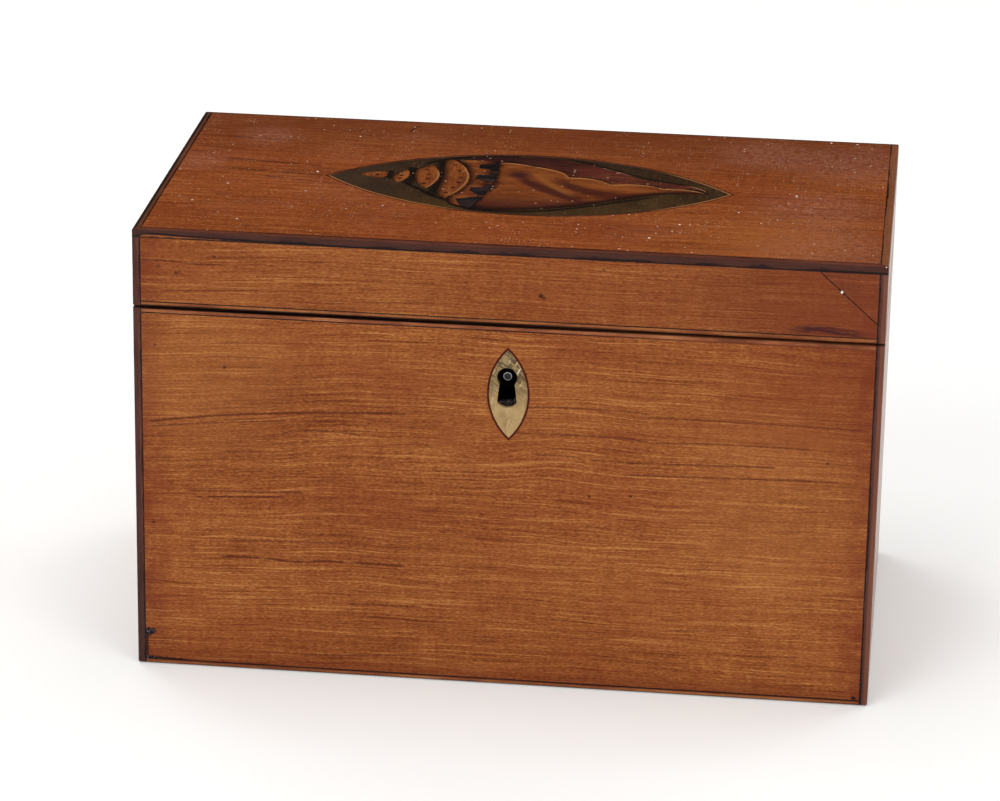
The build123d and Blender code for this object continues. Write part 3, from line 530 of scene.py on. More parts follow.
colour = lay(
    tree, colour,
    (on_lid, "#7a3b1b", 0.18),
    (times(tree, on_lid, step(tree, x, 10.0, 85.0)), "#6e2f18", 0.58),
    (spot(tree, grain, (88.0, 92.0), 2.0, 34.0), "#783419", 0.5),
    (grubby_end, "#702c17", 0.6),
    (step(tree, z, 6.5, 1.6), "#6e2b12", 0.5),
    (spot(tree, grain, (-76.0, 82.0), 7.0, 24.0), "#b4743f", 0.2),
    (spot(tree, grain, (68.0, 52.0), 10.0, 26.0), "#b4743f", 0.2),
    *streaks, *flecks,
    (purple, "#38141a", 0.85),
    (drawn_line(tree, uneven, base_dirt_line, 0.45, ends=0.35), "#1a0d0a", 0.9),
    (drawn_line(tree, uneven, string_dirt_line, 0.5, along=1), "#1a0d0a", 0.85),
    (glints, "#6e7278", 0.8),
    (drawn_line(tree, uneven, patch_seam, 0.28, ends=0.01), "#28120b", 0.85),
    (mastic, "#5a1c08", 0.9),
)
surface(tree, colour, tone, (0.46, 0.34), depth=0.03, gloss=0.12)
dress(material, "case_front_veneer", "lid_front_veneer")

grubby_width = 9.0
for name, order, seed, inner_edge, roughness, gloss, pieces in [
    ("back", "XZY", 31.0, string_inner_x, (0.46, 0.34), 0.2, ("case_back_veneer", "lid_back_veneer")),
    ("left", "YZX", 47.0, string_inner_y, (0.30, 0.20), 0.3, ("case_left_veneer", "lid_left_veneer")),
    ("right", "YZX", 63.0, string_inner_y, (0.30, 0.20), 0.35, ("case_right_veneer", "lid_right_veneer")),
]:
    material, tree, grain, tone, colour = satinwood(f"waxed_satinwood_{name}", order, seed, satinwood_tones)
    from_middle = away(tree, add(tree, "SeparateXYZ", {0: grain}))
    beside_string = step(tree, from_middle, inner_edge - grubby_width, inner_edge)
    colour = lay(tree, colour, (beside_string, "#702c17", 0.45))
    surface(tree, colour, tone, roughness, depth=0.02, gloss=gloss)
    dress(material, *pieces)


# The rims and the base are edged with boxwood strips, each beside a line of dyed black wood.
# The boxwood has toned nearly to the satinwood's colour, and the lines have worn to a brown black. Beside the
# joint between lid and case the rim strips are painted black as the gap's shade, and the line under the joint
# has worn off toward the right.
def strip_wood(name, order, seed, stops, wear_and_painted_light=None):
    """A thin strip of close-grained wood: fine fibres along it, slow patches of colour, and coats of wear,
    with painted shade on the rim strips by the lid's joint.
    """
    material, tree = new_finish(name)
    grain = along_grain(tree, order)
    tone = weigh(tree, [
        (fibres(tree, grain, 6, 0.3, seed), 0.7), (fibres(tree, grain, 16, 6, seed + 1), 1.1),
        (fibres(tree, grain, 1.2, 0.4, seed + 2), 0.4),
    ])
    colour = add(tree, "ValToRGB", {0: tone}, stops=stops)
    if wear_and_painted_light:
        axes = add(tree, "SeparateXYZ", {0: along_grain(tree)}).node.outputs
        colour = lay(tree, colour, *wear_and_painted_light(tree, *axes))
    surface(tree, colour, tone, (0.50, 0.42), depth=0.02, gloss=0.12)
    return material


def joint_gap_shade(reach):
    """A rim strip's painted shade: black from the joint to a reach in millimetres, standing for the gap's
    shade, and less of it toward the right.
    """
    case_rim_z, lid_rim_z = 98.05, 98.8
    half_gap = (lid_rim_z - case_rim_z) / 2

    def wear_and_painted_light(tree, x, y, z):
        off = away(tree, z, (case_rim_z + lid_rim_z) / 2)
        # painted shade of the gap between lid and case
        dirt_and_shade = step(tree, off, half_gap + reach, half_gap + reach * 0.4)
        return [(times(tree, dirt_and_shade, step(tree, x, 0.0, 75.0, 1.0, 0.35)), "#120806", 0.95)]
    return wear_and_painted_light


def base_wear(tree, x, y, z):
    """A dark foot, and a red stain under the black line."""
    return [(step(tree, z, 0.45, 0.25), "#3c1e12", 0.8), (step(tree, z, 0.75, 0.95), "#6c3020", 0.7)]


def worn_off(tree, x, y, z):
    """The veneer's brown, where the black has worn off."""
    return [(step(tree, x, 5.0, 60.0), "#74361e", 0.8)]


boxwood_tones = [(0.25, "#6f3a1d"), (0.45, "#884b27"), (0.58, "#975a30"), (0.78, "#a96c3e")]
red_boxwood_tones = [(0.25, "#6d3a22"), (0.45, "#874a2c"), (0.58, "#975836"), (0.78, "#a86a44")]
black_tones = [(0.3, "#150b09"), (0.5, "#21110d"), (0.72, "#3a2118")]
dress(strip_wood("toned_boxwood_lid_rim", "XZY", 71.0, boxwood_tones, joint_gap_shade(0.45)), "lid_rim_edging")
dress(strip_wood("reddened_boxwood_case_rim", "XZY", 75.0, red_boxwood_tones, joint_gap_shade(0.2)),
      "case_rim_edging")
dress(strip_wood("toned_boxwood_base", "XZY", 77.0, boxwood_tones, base_wear), "base_edging")
dress(strip_wood("dyed_black_line", "XZY", 73.0, black_tones), "base_line", "lid_rim_line")
dress(strip_wood("worn_black_line", "XZY", 79.0, black_tones, worn_off), "case_rim_line")


# Square strings of purpleheart are let into the four corners of case and lid, with the grain upright.
# Each has turned from purple to a brown in two tones, with a black glue line beside the veneer and an arris
# rubbed paler by handling and painted lighter still as a highlight.
def string_wood(name, order, seed, inner_edges, colours, wear_and_painted_light):
    """A square string. How far a place is past the nearer of its two inner edges picks the tone: a black glue
    line, then the inner and the outer half, then the arris, rubbed and painted paler as a highlight. Further
    coats, of wear and painted shadow, lie between."""
    material, tree = new_finish(name)
    grain = along_grain(tree, order)
    axes = add(tree, "SeparateXYZ", {0: along_grain(tree)}).node.outputs
    slow = fibres(tree, grain, 22, 3, seed + 1)
    tone = weigh(tree, [
        (fibres(tree, grain, 7, 0.35, seed), 1.0), (slow, 0.9),
        (fibres(tree, grain, 0.8, 0.4, seed + 3), 0.5),
    ])
    past = [add(tree, "Math", {0: away(tree, axes[axis]), 1: edge}, operation="SUBTRACT")
            for axis, edge in inner_edges.items()]
    nearer = add(tree, "Math", {0: past[0], 1: past[1]}, operation="MINIMUM")
    rough_edge = weigh(tree, [(fibres(tree, grain, 2.5, 1.0, seed + 2), 0.7), (slow, 0.8)], 0.0)
    across = add(tree, "Math", {0: nearer, 1: rough_edge}, operation="ADD")
    inner, outer, arris = [add(tree, "ValToRGB", {0: tone}, stops=pair) for pair in colours]
    # The arris tone is rubbed wood and a painted highlight together.
    colour = lay(tree, inner, (step(tree, across, 1.0, 1.35), outer, 1.0),
                 (step(tree, across, 1.75, 2.2), arris, 0.7), *wear_and_painted_light(tree, *axes),
                 (step(tree, across, 0.52, 0.32), "#160a09", 0.92))
    surface(tree, colour, tone, (0.48, 0.36), depth=0.03, gloss=0.14)
    return material


def corner_wear(tree, x, y, z):
    """The right strings are browner, with a dark inner half. The left have a dark outer edge and foot."""
    left, right = step(tree, x, -88.0, -92.0), step(tree, x, 88.0, 92.0)
    return [
        (right, "#84503a", 0.5), (times(tree, right, step(tree, x, 94.0, 93.6)), "#3c2224", 0.65),
        (step(tree, x, -93.7, -94.2), "#2f1c1d", 0.5),
        (times(tree, left, step(tree, z, 55.0, 12.0)), "#2c1a1b", 0.5),
    ]


corner_colours = [
    [(0.3, "#44231c"), (0.7, "#63372b")],
    [(0.3, "#502e27"), (0.7, "#6c4237")],
    [(0.3, "#5c3830"), (0.7, "#825546")],
]
dress(string_wood("browned_purpleheart_upright", "ZXY", 81.0, {0: string_inner_x, 1: string_inner_y},
                  corner_colours, corner_wear), "case_corner_strings", "lid_corner_strings")


# The lid's board is mahogany too, on four rails sawn from the same boards as the case.
# Its top is faced with darker, redder satinwood, hazed by old wax, with painted sheen in soft pale patches,
# and sprinkled with pale dust.
dress(solid_wood("planed_mahogany_lid_board", "XYZ", 15.0, mahogany_tones, 3.0), "lid_top_board")

top_tones = [(0.18, "#58230b"), (0.36, "#6e3313"), (0.50, "#823f18"), (0.64, "#955124"), (0.84, "#ac6836")]
top_dark_marks = [
    # points and half width
    ([(63.5, -18.3), (66, -18.0), (68, -18.2)], 0.5), ([(69, -17.2), (70.5, -17.4), (72, -17.2)], 0.4),
    ([(85.5, -37.6), (88, -37.3), (91, -37.5)], 0.6), ([(-92, 31), (-80, 30.2), (-66, 29.4)], 0.65),
    ([(-88, 12), (-70, 9.6), (-52, 7.0)], 0.8), ([(-80, 2.5), (-66, 1.0), (-50, -0.8)], 0.7),
    ([(-70, -3.0), (-54, -6.0), (-40, -8.4)], 0.6), ([(-92, 20.5), (-82, 19.8), (-74, 19.0)], 0.6),
]
top_crack = [(42.3, -36.7), (45.0, -36.3), (46.8, -35.7), (48.2, -34.6), (49.0, -33.4)]       # Y and X
# Soft pale patches, partly wax haze and partly painted sheen.
haze_and_sheen_places = [
    # place, radius and soft width
    ((-73.8, 32.8), 2.0, 10.0), ((-88.3, 7.3), 2.0, 9.0), ((76.0, -10.0), 4.0, 20.0),
    ((80.0, -42.0), 5.0, 20.0), ((84.0, 30.0), 5.0, 20.0), ((60.0, 36.0), 3.0, 16.0),
]
inlay_middle = (0.0, 0.0)
inlay_size = (106.4, 51.8)


def dust(tree, grain, spacing, size, share, seed):
    """Dust specks. In cells of one spacing, in millimetres, some share hold a round speck of about a size,
    and slow noise gathers them in drifts."""
    place = add(tree, "VectorMath", {0: grain, 1: (1 / spacing,) * 3, 2: (seed, seed * 2.3, 0.0)},
                operation="MULTIPLY_ADD")
    cells = add(tree, "TexVoronoi", {"Vector": place, "Scale": 1.0}, voronoi_dimensions="2D").node
    channels = add(tree, "SeparateColor", {0: cells.outputs["Color"]}).node
    radius = add(tree, "Math", {0: channels.outputs[1], 1: 0.6 * size / spacing, 2: 0.5 * size / spacing},
                 operation="MULTIPLY_ADD")
    inside = add(tree, "Math", {0: radius, 1: cells.outputs["Distance"]}, operation="GREATER_THAN")
    kept = add(tree, "Math", {0: channels.outputs[0], 1: 1 - share}, operation="GREATER_THAN")
    drift = step(tree, fibres(tree, grain, 9, 7, seed, 4.0), 0.47, 0.60, 0.06, 1.0)
    return times(tree, inside, kept, drift)


material, tree, grain, tone, colour = satinwood("waxed_satinwood_top", "XYZ", 91.0, top_tones)
x, y = add(tree, "SeparateXYZ", {0: grain}).node.outputs[:2]
broken = step(tree, fibres(tree, grain, 4, 0.7, 95.0), 0.34, 0.54)
marks = [(times(tree, drawn_line(tree, grain, points, width), broken), "#431809", 0.8)
         for points, width in top_dark_marks]
mist = step(tree, fibres(tree, grain, 1.2, 0.8, 98.0, 3.0), 0.35, 0.65)
# painted sheen and wax haze in soft pale patches at the places listed
hazes_and_sheen = [(times(tree, spot(tree, grain, *place), mist), "#a06a58", 0.42) for place in haze_and_sheen_places]
haze = times(tree, step(tree, fibres(tree, grain, 22, 16, 97.0, 4.0), 0.50, 0.68), mist)
colour = lay(
    tree, colour, *marks,
    (step(tree, y, 4.0, 50.0), "#5e2c14", 0.6), *hazes_and_sheen, (haze, "#985c44", 0.22),
    (spot(tree, grain, (66.0, -38.0), 6.0, 26.0), "#a8642f", 0.25),
    (drawn_line(tree, add(tree, "CombineXYZ", {0: y, 1: x}), top_crack, 0.4), "#240f08", 0.95),
    (dust(tree, grain, 0.9, 0.17, 0.30, 3.0), "#c89c7a", 0.7),
    (dust(tree, grain, 2.0, 0.24, 0.13, 8.0), "#e8c8ac", 0.85),
    (dust(tree, grain, 7.0, 0.34, 0.10, 5.0), "#fff2e4", 0.95),
    (oval_line(tree, grain, inlay_middle, inlay_size, 0.42), "#2c130b", 0.85),
)
surface(tree, colour, tone, (0.46, 0.34), depth=0.03, gloss=0.06)
dress(material, "lid_top_veneer")


# A triangle of newer satinwood repairs the right end of the lid's front.
# It is redder and plainer than the sheet round it, with an open glue line along its slope.
patch_tones = [(0.18, "#612a15"), (0.40, "#70361c"), (0.60, "#7d3d20"), (0.82, "#8e4d2c")]
material, tree, grain, tone, colour = satinwood("newer_satinwood_patch", "XZY", 113.0, patch_tones)
colour = lay(tree, colour, (drawn_line(tree, grain, patch_seam, 0.28, ends=0.01), "#28120b", 0.85))
surface(tree, colour, tone, (0.46, 0.34), depth=0.02, gloss=0.12)
dress(material, "lid_front_patch")


# The lid's top edges carry purpleheart strings, mitred at the front corners, with a slim one at the back.
# The front string is dark on its face and reddish on top, and the veneer laps its lower edge unevenly at the
# left. The left one's outer edge is nearly black, and the right one has faded almost to the veneer's brown.
string_under = 116.8
lap_edge = [(-92.8, 117.2), (-90.5, 117.75), (-84, 117.6), (-70, 117.3), (-50, 117.05), (-20, 116.7)]
lap_shadow = [(-94.0, 117.4), (-90.5, 118.0), (-84, 117.8), (-70, 117.5), (-50, 117.25), (-20, 116.9)]


def front_string_wear_and_shadow(tree, x, y, z):
    """A dark front face, a dirtier foot up to an uneven height, and the lapping veneer under its shadow."""
    front = add(tree, "CombineXYZ", {0: x, 1: z})
    face = step(tree, y, -52.1, -52.4)
    uneven = weigh(tree, [(fibres(tree, along_grain(tree), 7.0, 3.0, 135.0, 3.0), 3.0)], string_under + 0.65)
    foot = step(tree, add(tree, "Math", {0: z, 1: uneven}, operation="SUBTRACT"), 0.25, -0.2)
    lap = step(tree, past_curve(tree, front, lap_edge)[0], 0.0, -0.12)
    # painted shadow under the lapping veneer's edge
    shadow = drawn_line(tree, front, lap_shadow, 0.32)
    return [(face, "#38201c", 0.70), (times(tree, foot, face), "#1c0d0f", 0.85),
            (times(tree, shadow, face), "#120808", 0.9), (times(tree, lap, face), "#8f4f2a", 0.95)]


def side_string_wear(tree, x, y, z):
    """The left string is darker, most at its outer edge, and the right one paler."""
    return [(step(tree, x, -88.0, -92.0), "#5e3420", 0.5), (step(tree, x, -93.7, -94.2), "#180e0b", 0.9),
            (step(tree, x, 88.0, 92.0), "#84502f", 0.45)]


front_string_colours = [
    [(0.3, "#482116"), (0.7, "#673523")],
    [(0.3, "#4e261a"), (0.7, "#6d3926")],
    [(0.3, "#542d22"), (0.7, "#744436")],
]
side_string_colours = [
    [(0.3, "#522b1b"), (0.7, "#74432b")],
    [(0.3, "#5f3623"), (0.7, "#815035")],
    [(0.3, "#6e4632"), (0.7, "#93664c")],
]
dress(string_wood("browned_purpleheart_front", "XYZ", 121.0, {1: string_inner_y, 2: string_under},
                  front_string_colours, front_string_wear_and_shadow), "top_front_string")
dress(string_wood("faded_purpleheart_sides", "YXZ", 127.0, {0: string_inner_x, 2: string_under},
                  side_string_colours, side_string_wear), "top_side_strings")
dress(strip_wood("black_back_string", "XYZ", 131.0, [(0.3, "#100806"), (0.7, "#26140f")]), "top_back_string")


# The shell in the lid is marquetry, sawn from dyed and natural woods and laid in an oval of harewood.
# The harewood was sycamore stained green with iron, now a dark olive brown, darker at its left end and black
# in the hollows between the whorls. A thin boxwood string frames it, bright only at the right and lower left.
def clean_ends(tree, x, y, z):
    """The boxwood's own colour, at the right and the lower left."""
    lower_left = times(tree, step(tree, x, -14.0, -24.0), step(tree, y, 2.0, -2.0))
    clean = add(tree, "Math", {0: step(tree, x, 30.0, 42.0), 1: lower_left}, operation="MAXIMUM")
    return [(clean, "#a06b3c", 0.85)]


string_tones = [(0.25, "#3f2416"), (0.5, "#573220"), (0.78, "#6f4429")]
dress(strip_wood("toned_boxwood_string", "XYZ", 141.0, string_tones, clean_ends), "inlay_string")

harewood_tones = [(0.25, "#2a1b0e"), (0.45, "#382513"), (0.60, "#453018"), (0.80, "#594021")]
ground_shadows = [
    # points in X and Y, half width, and the axis that the line runs along
    ([(-31.9, -5.0), (-31.4, 3.0), (-31.6, 11.0)], 2.4, 1),
    ([(-24.2, -14.0), (-23.9, 3.0), (-24.8, 18.0)], 2.4, 1),
    ([(-32.5, -3.0), (-28.5, -7.4), (-24.0, -12.8), (-19.0, -16.8), (-14.0, -22.0)], 1.7, 0),
    ([(-30.0, 12.0), (-24.5, 18.4), (-20.0, 20.9), (-14.0, 23.2), (-4.0, 24.6)], 1.5, 0),
    ([(-37.7, -1.0), (-37.1, 3.5), (-37.4, 7.0)], 1.4, 1),
    ([(-20.0, -16.0), (-16.0, -20.8), (-6.0, -23.4)], 1.3, 0),
    ([(8.0, 23.9), (18.0, 18.5), (26.0, 12.9), (34.0, 8.3), (42.0, 6.0)], 0.9, 0),
    ([(-16.0, -22.4), (-4.0, -23.4), (6.0, -21.2), (14.0, -17.4), (24.0, -11.2), (34.0, -4.8)], 1.2, 0),
]
material, tree = new_finish("olive_harewood")
grain, plan = along_grain(tree, "YXZ"), along_grain(tree)
tone = weigh(tree, [
    (fibres(tree, grain, 6, 0.45, 143.0), 0.5), (fibres(tree, grain, 1.2, 2.6, 144.0), 0.4),
    (fibres(tree, grain, 18, 12, 145.0), 0.8), (fibres(tree, grain, 1.0, 0.4, 146.0), 0.4),
])
x, y = add(tree, "SeparateXYZ", {0: plan}).node.outputs[:2]
colour = lay(
    tree, add(tree, "ValToRGB", {0: tone}, stops=harewood_tones),
    (step(tree, x, -22.0, -50.0), "#38281e", 0.8),
    (step(tree, y, 6.0, 18.0), "#281a12", 0.40),
    (step(tree, y, -8.0, -20.0), "#4a3418", 0.4),
    (oval_line(tree, plan, inlay_middle, inlay_size, 1.1), "#1a100b", 0.6),
    *[(drawn_line(tree, plan, *shadow), "#140c09", 0.9) for shadow in ground_shadows],
    (dust(tree, grain, 1.8, 0.24, 0.14, 4.0), "#c0a080", 0.7),
)
surface(tree, colour, tone, (0.5, 0.38), depth=0.02, gloss=0.1)
dress(material, "inlay_ground")


# The whorls, crown and body are satinwood too, shaded by dipping each piece in hot sand.
# Each whorl is scorched down its left side and has a row of punched dots. The body has soft dark hollows
# between golden ridges, a red-brown foot and a lower edge scorched black.
def shell_wood(name, order, seed, stops):
    """Plain satinwood for the shell, with fibres and small dark pores along its grain."""
    material, tree = new_finish(name)
    grain = along_grain(tree, order)
    pores = step(tree, fibres(tree, grain, 1.3, 0.35, seed + 1, 1.0), 0.62, 0.70)
    tone = weigh(tree, [
        (fibres(tree, grain, 7, 0.5, seed), 0.5), (fibres(tree, grain, 14, 6, seed + 2), 0.8),
        (fibres(tree, grain, 0.9, 0.5, seed + 3), 0.35), (pores, -0.2),
    ], 0.44)
    return material, tree, along_grain(tree), tone, add(tree, "ValToRGB", {0: tone}, stops=stops)


def past_edge(tree, plan, points, width, along=0):
    """1 on a curve, falling to 0 over a width past it. 0 more than half a millimetre before it."""
    past = past_curve(tree, plan, points, along)[0]
    begun = add(tree, "Math", {0: past, 1: -0.5}, operation="GREATER_THAN")
    return times(tree, step(tree, past, width, 0.0), begun)


def finish_shell(tree, plan, tone, seed, colour, *coats):
    """Lays the coats and then some dust on the colour, and links the finish."""
    specks = dust(tree, plan, 1.8, 0.27, 0.16, seed)
    colour = lay(tree, colour, *coats, (specks, "#d6b090", 0.75))
    surface(tree, colour, tone, (0.5, 0.38), depth=0.02, gloss=0.1)


shell_tones = [(0.25, "#52240d"), (0.45, "#6b3212"), (0.60, "#7e4118"), (0.80, "#965827")]
whorl_left_edges = [
    # points in X and Y, from the lower end up, and the scorch's width
    ([(-46.0, 0.0), (-45.6, 2.6), (-43.0, 6.0)], 2.2),
    ([(-34.5, -3.4), (-36.3, 0.4), (-35.5, 4.9), (-33.2, 8.4)], 1.8),
    ([(-27.0, -7.5), (-30.1, -0.9), (-31.0, 7.5), (-29.8, 10.9), (-27.3, 13.4)], 2.3),
    ([(-21.4, -13.8), (-23.6, -8.5), (-23.4, 4.0), (-24.6, 17.0), (-23.5, 18.9)], 3.2),
]
whorl_rims = [
    [(-26.6, -7.0), (-24.9, -1.5), (-24.4, 4.2), (-25.0, 9.0), (-27.0, 12.9)],
    [(-20.3, -12.8), (-17.6, -6.0), (-16.5, 2.5), (-17.7, 10.0), (-20.0, 16.0)],
]
whorl_dots = [
    (-40.3, 2.7), (-33.9, 2.8), (-34.1, 0.4), (-28.0, 9.0), (-26.9, 4.9), (-26.7, 0.9), (-27.3, -3.1),
    (-21.1, 14.3), (-19.4, 9.3), (-18.3, 3.6), (-18.5, -0.8), (-19.3, -5.4), (-20.7, -9.8),
]
material, tree, plan, tone, colour = shell_wood("sand_shaded_satinwood_whorls", "YXZ", 151.0, shell_tones)
uneven = ragged(tree, plan, {0: (0.7, 0.6, 155.0, 0.8), 1: (0.9, 0.7, 156.0, 0.8)})
finish_shell(
    tree, plan, tone, 6.0, colour,
    *[(drawn_line(tree, plan, rim, 0.34, along=1), "#a87444", 0.6) for rim in whorl_rims],
    *[(past_edge(tree, plan, edge, width, along=1), "#1c0d08", 0.95) for edge, width in whorl_left_edges],
    *[(spot(tree, uneven, dot, 0.44, 0.28), "#250c07", 0.95) for dot in whorl_dots],
)
dress(material, "shell_whorls")

crown_left_edge = [(-19.6, -12.5), (-18.5, -10.0), (-17.2, -6.0), (-16.3, -2.0), (-16.1, 2.0), (-16.5, 6.0),
                   (-17.4, 10.0), (-18.5, 14.0), (-21.3, 18.5)]
material, tree, plan, tone, colour = shell_wood("sand_shaded_satinwood_crown", "XYZ", 161.0, shell_tones)
right_end = step(tree, add(tree, "SeparateXYZ", {0: plan}), -14.5, -10.5)
frayed = step(tree, fibres(tree, plan, 1.3, 0.9, 165.0), 0.34, 0.50)
finish_shell(
    tree, plan, tone, 7.0, colour,
    (past_edge(tree, plan, crown_left_edge, 2.9, along=1), "#1a0c09", 0.95),
    (times(tree, right_end, frayed), "#1c0d09", 0.85),
)
dress(material, "shell_crown")

body_tones = [(0.25, "#55240c"), (0.45, "#6b3311"), (0.60, "#7b4017"), (0.80, "#905424")]
body_left_edge = [(-12.8, -21.0), (-12.0, -15.0), (-10.6, -8.5), (-9.2, -1.0), (-9.4, 8.0), (-10.0, 18.6)]
body_lower_edge = [(-13.0, -21.6), (-4.0, -22.3), (5.0, -20.2), (12.0, -17.0), (22.0, -10.8), (30.0, -5.4),
                   (35.0, -2.9), (45.0, -1.3)]
body_upper_edge = [
    (-10.0, 18.6), (-4.0, 17.7), (3.0, 14.9), (8.0, 11.5), (9.7, 8.3), (15.0, 8.0), (20.0, 5.2),
    (21.3, 3.8), (27.0, 4.7), (33.0, 3.8), (34.6, 2.4), (41.0, 2.2), (47.0, -1.2),
]
body_shades = [
    # points, half width, colour and strength
    ([(3.0, 8.5), (8.0, 3.6), (13.6, -2.0), (23.6, -6.3), (34.0, -6.6)], 4.2, "#431910", 0.90),
    ([(-7.0, 10.0), (-2.1, 4.4), (2.0, -0.6), (6.4, -4.9), (18.4, -13.5)], 4.4, "#401913", 0.90),
    ([(16.0, -9.0), (24.0, -6.4), (32.0, -3.8), (44.0, -1.0)], 3.4, "#50200f", 0.70),
    ([(-1.0, 11.0), (2.0, 6.6), (9.3, -4.0), (14.0, -8.0)], 2.8, "#945a24", 0.40),
    ([(9.0, 6.6), (15.0, 3.0), (24.0, 0.0), (40.0, -0.6)], 2.0, "#8c4c20", 0.45),
]
material, tree, plan, tone, colour = shell_wood("sand_shaded_satinwood_body", "XYZ", 171.0, body_tones)
y = add(tree, "SeparateXYZ", {0: plan}, out="Y")
uneven = ragged(tree, plan, {0: (1.1, 1.1, 175.0, 4.0)})
upper_rim = [(run, rise - 0.4) for run, rise in body_upper_edge]
finish_shell(
    tree, plan, tone, 8.0, colour,
    *[(drawn_line(tree, plan, points, width, ends=0.25), *coat) for points, width, *coat in body_shades],
    (spot(tree, plan, (-3.3, 8.2), 0.8, 3.4), "#331518", 0.80),
    (step(tree, y, -6.5, -17.0), "#481c13", 0.85),
    (past_edge(tree, plan, body_lower_edge, 5.0), "#1a0a07", 0.95),
    (past_edge(tree, uneven, body_left_edge, 1.9, along=1), "#170908", 0.92),
    (drawn_line(tree, plan, upper_rim, 0.4), "#b07a48", 0.8),
)
dress(material, "shell_body")


# The slips between the crown's fingers are dyed black, and the lip is rosewood.
# The rosewood is dark red-brown, nearly black at its left, with chips of paler glue along its outer edge.
slip_tones = [(0.3, "#0d090b"), (0.5, "#1b1517"), (0.72, "#3c2a28")]
dress(strip_wood("dyed_black_slips", "XYZ", 181.0, slip_tones), "shell_slips")

lip_tones = [(0.28, "#2c100b"), (0.45, "#451d13"), (0.58, "#56281a"), (0.74, "#6e3824")]
lip_marks = [
    # points, half width, colour and strength
    ([(17.6, 17.8), (21.0, 15.9), (23.0, 14.2), (25.8, 12.2)], 0.45, "#ab7d62", 0.85),
    ([(21.6, 13.6), (22.4, 14.3), (23.2, 14.6)], 0.8, "#a57258", 0.8),
    ([(40.5, 6.2), (43.5, 4.4), (46.0, 1.6), (47.2, -0.8)], 0.45, "#b98b5c", 0.85),
    ([(41.5, 3.4), (44.0, 2.0), (46.8, 0.0)], 0.75, "#0f0605", 0.9),
]
material, tree, plan, tone, colour = shell_wood("dark_rosewood_lip", "XYZ", 191.0, lip_tones)
uneven = ragged(tree, plan, {1: (1.2, 1.2, 195.0, 2.4)})
finish_shell(
    tree, plan, tone, 9.0, colour,
    (step(tree, add(tree, "SeparateXYZ", {0: plan}), 22.0, -8.0), "#260f10", 0.75),
    (spot(tree, plan, (15.5, 14.0), 1.0, 6.0), "#5c2419", 0.5),
    (past_edge(tree, uneven, body_upper_edge, 1.3), "#160807", 0.9),
    *[(drawn_line(tree, plan, points, width), *coat) for points, width, *coat in lip_marks],
)
dress(material, "shell_lip")


# The escutcheon is a slip of bone, sawn to a pointed oval and let in flush.
# It has yellowed, with green-grey stains and slanting file marks round the keyhole, and a cleaner foot.
bone_tones = [(0.20, "#84683f"), (0.40, "#a08357"), (0.55, "#b09262"), (0.80, "#c4a97a")]
file_mark_angle = radians(52)
bone_marks = [
    # points in Z and X, half width, colour and strength
    ([(85.5, 3.15), (87.3, 4.0)], 0.28, "#e6d3bd", 0.85),
    ([(84.4, 3.35), (85.9, 4.15)], 0.25, "#4a2416", 0.9),
    ([(87.7, 2.6), (88.9, 3.3)], 0.22, "#e0c88e", 0.7), ([(88.7, 2.2), (89.3, 2.5)], 0.30, "#4f3a26", 0.8),
    ([(89.7, 1.6), (90.2, 1.9)], 0.25, "#4f3a26", 0.7), ([(82.0, 3.7), (83.5, 4.6)], 0.25, "#dcc79a", 0.6),
    ([(86.0, -2.6), (88.5, -1.2)], 0.22, "#59472f", 0.6),
    ([(85.0, -3.2), (87.0, -2.3)], 0.20, "#cdbb90", 0.6),
    ([(82.8, 3.4), (84.0, 4.4)], 0.22, "#4a3824", 0.7), ([(88.0, 0.8), (89.4, 1.5)], 0.22, "#d8c8a0", 0.6),
    ([(77.0, -3.4), (79.5, -2.6)], 0.25, "#cfb786", 0.5),
    ([(70.5, 0.4), (73.5, 1.6)], 0.30, "#cdb27e", 0.5),
]
material, tree = new_finish("yellowed_bone")
grain = along_grain(tree, "ZXY")
tilted = add(tree, "VectorRotate", {0: grain, 3: file_mark_angle}, rotation_type="Z_AXIS")
tone = weigh(tree, [
    (fibres(tree, grain, 5, 0.35, 201.0), 0.3), (fibres(tree, grain, 3.0, 2.2, 202.0), 0.8),
    (fibres(tree, grain, 0.6, 0.3, 203.0), 0.3), (fibres(tree, tilted, 4.0, 0.28, 204.0, 3.0), 0.25),
])
stained = times(tree, step(tree, fibres(tree, tilted, 2.2, 0.45, 205.0, 3.0), 0.40, 0.56, 0.3, 1.0),
                step(tree, add(tree, "SeparateXYZ", {0: grain}), 75.0, 85.5))
colour = lay(
    tree, add(tree, "ValToRGB", {0: tone}, stops=bone_tones), (stained, "#4c3d22", 0.9),
    (oval_line(tree, grain, escutcheon_middle, escutcheon_size, 0.42, escutcheon_lean), "#5e1c08", 0.95),
    *[(drawn_line(tree, grain, points, width, ends=0.2), *coat) for points, width, *coat in bone_marks],
)
surface(tree, colour, tone, (0.5, 0.32), depth=0.04, gloss=0.25)
dress(material, "escutcheon")


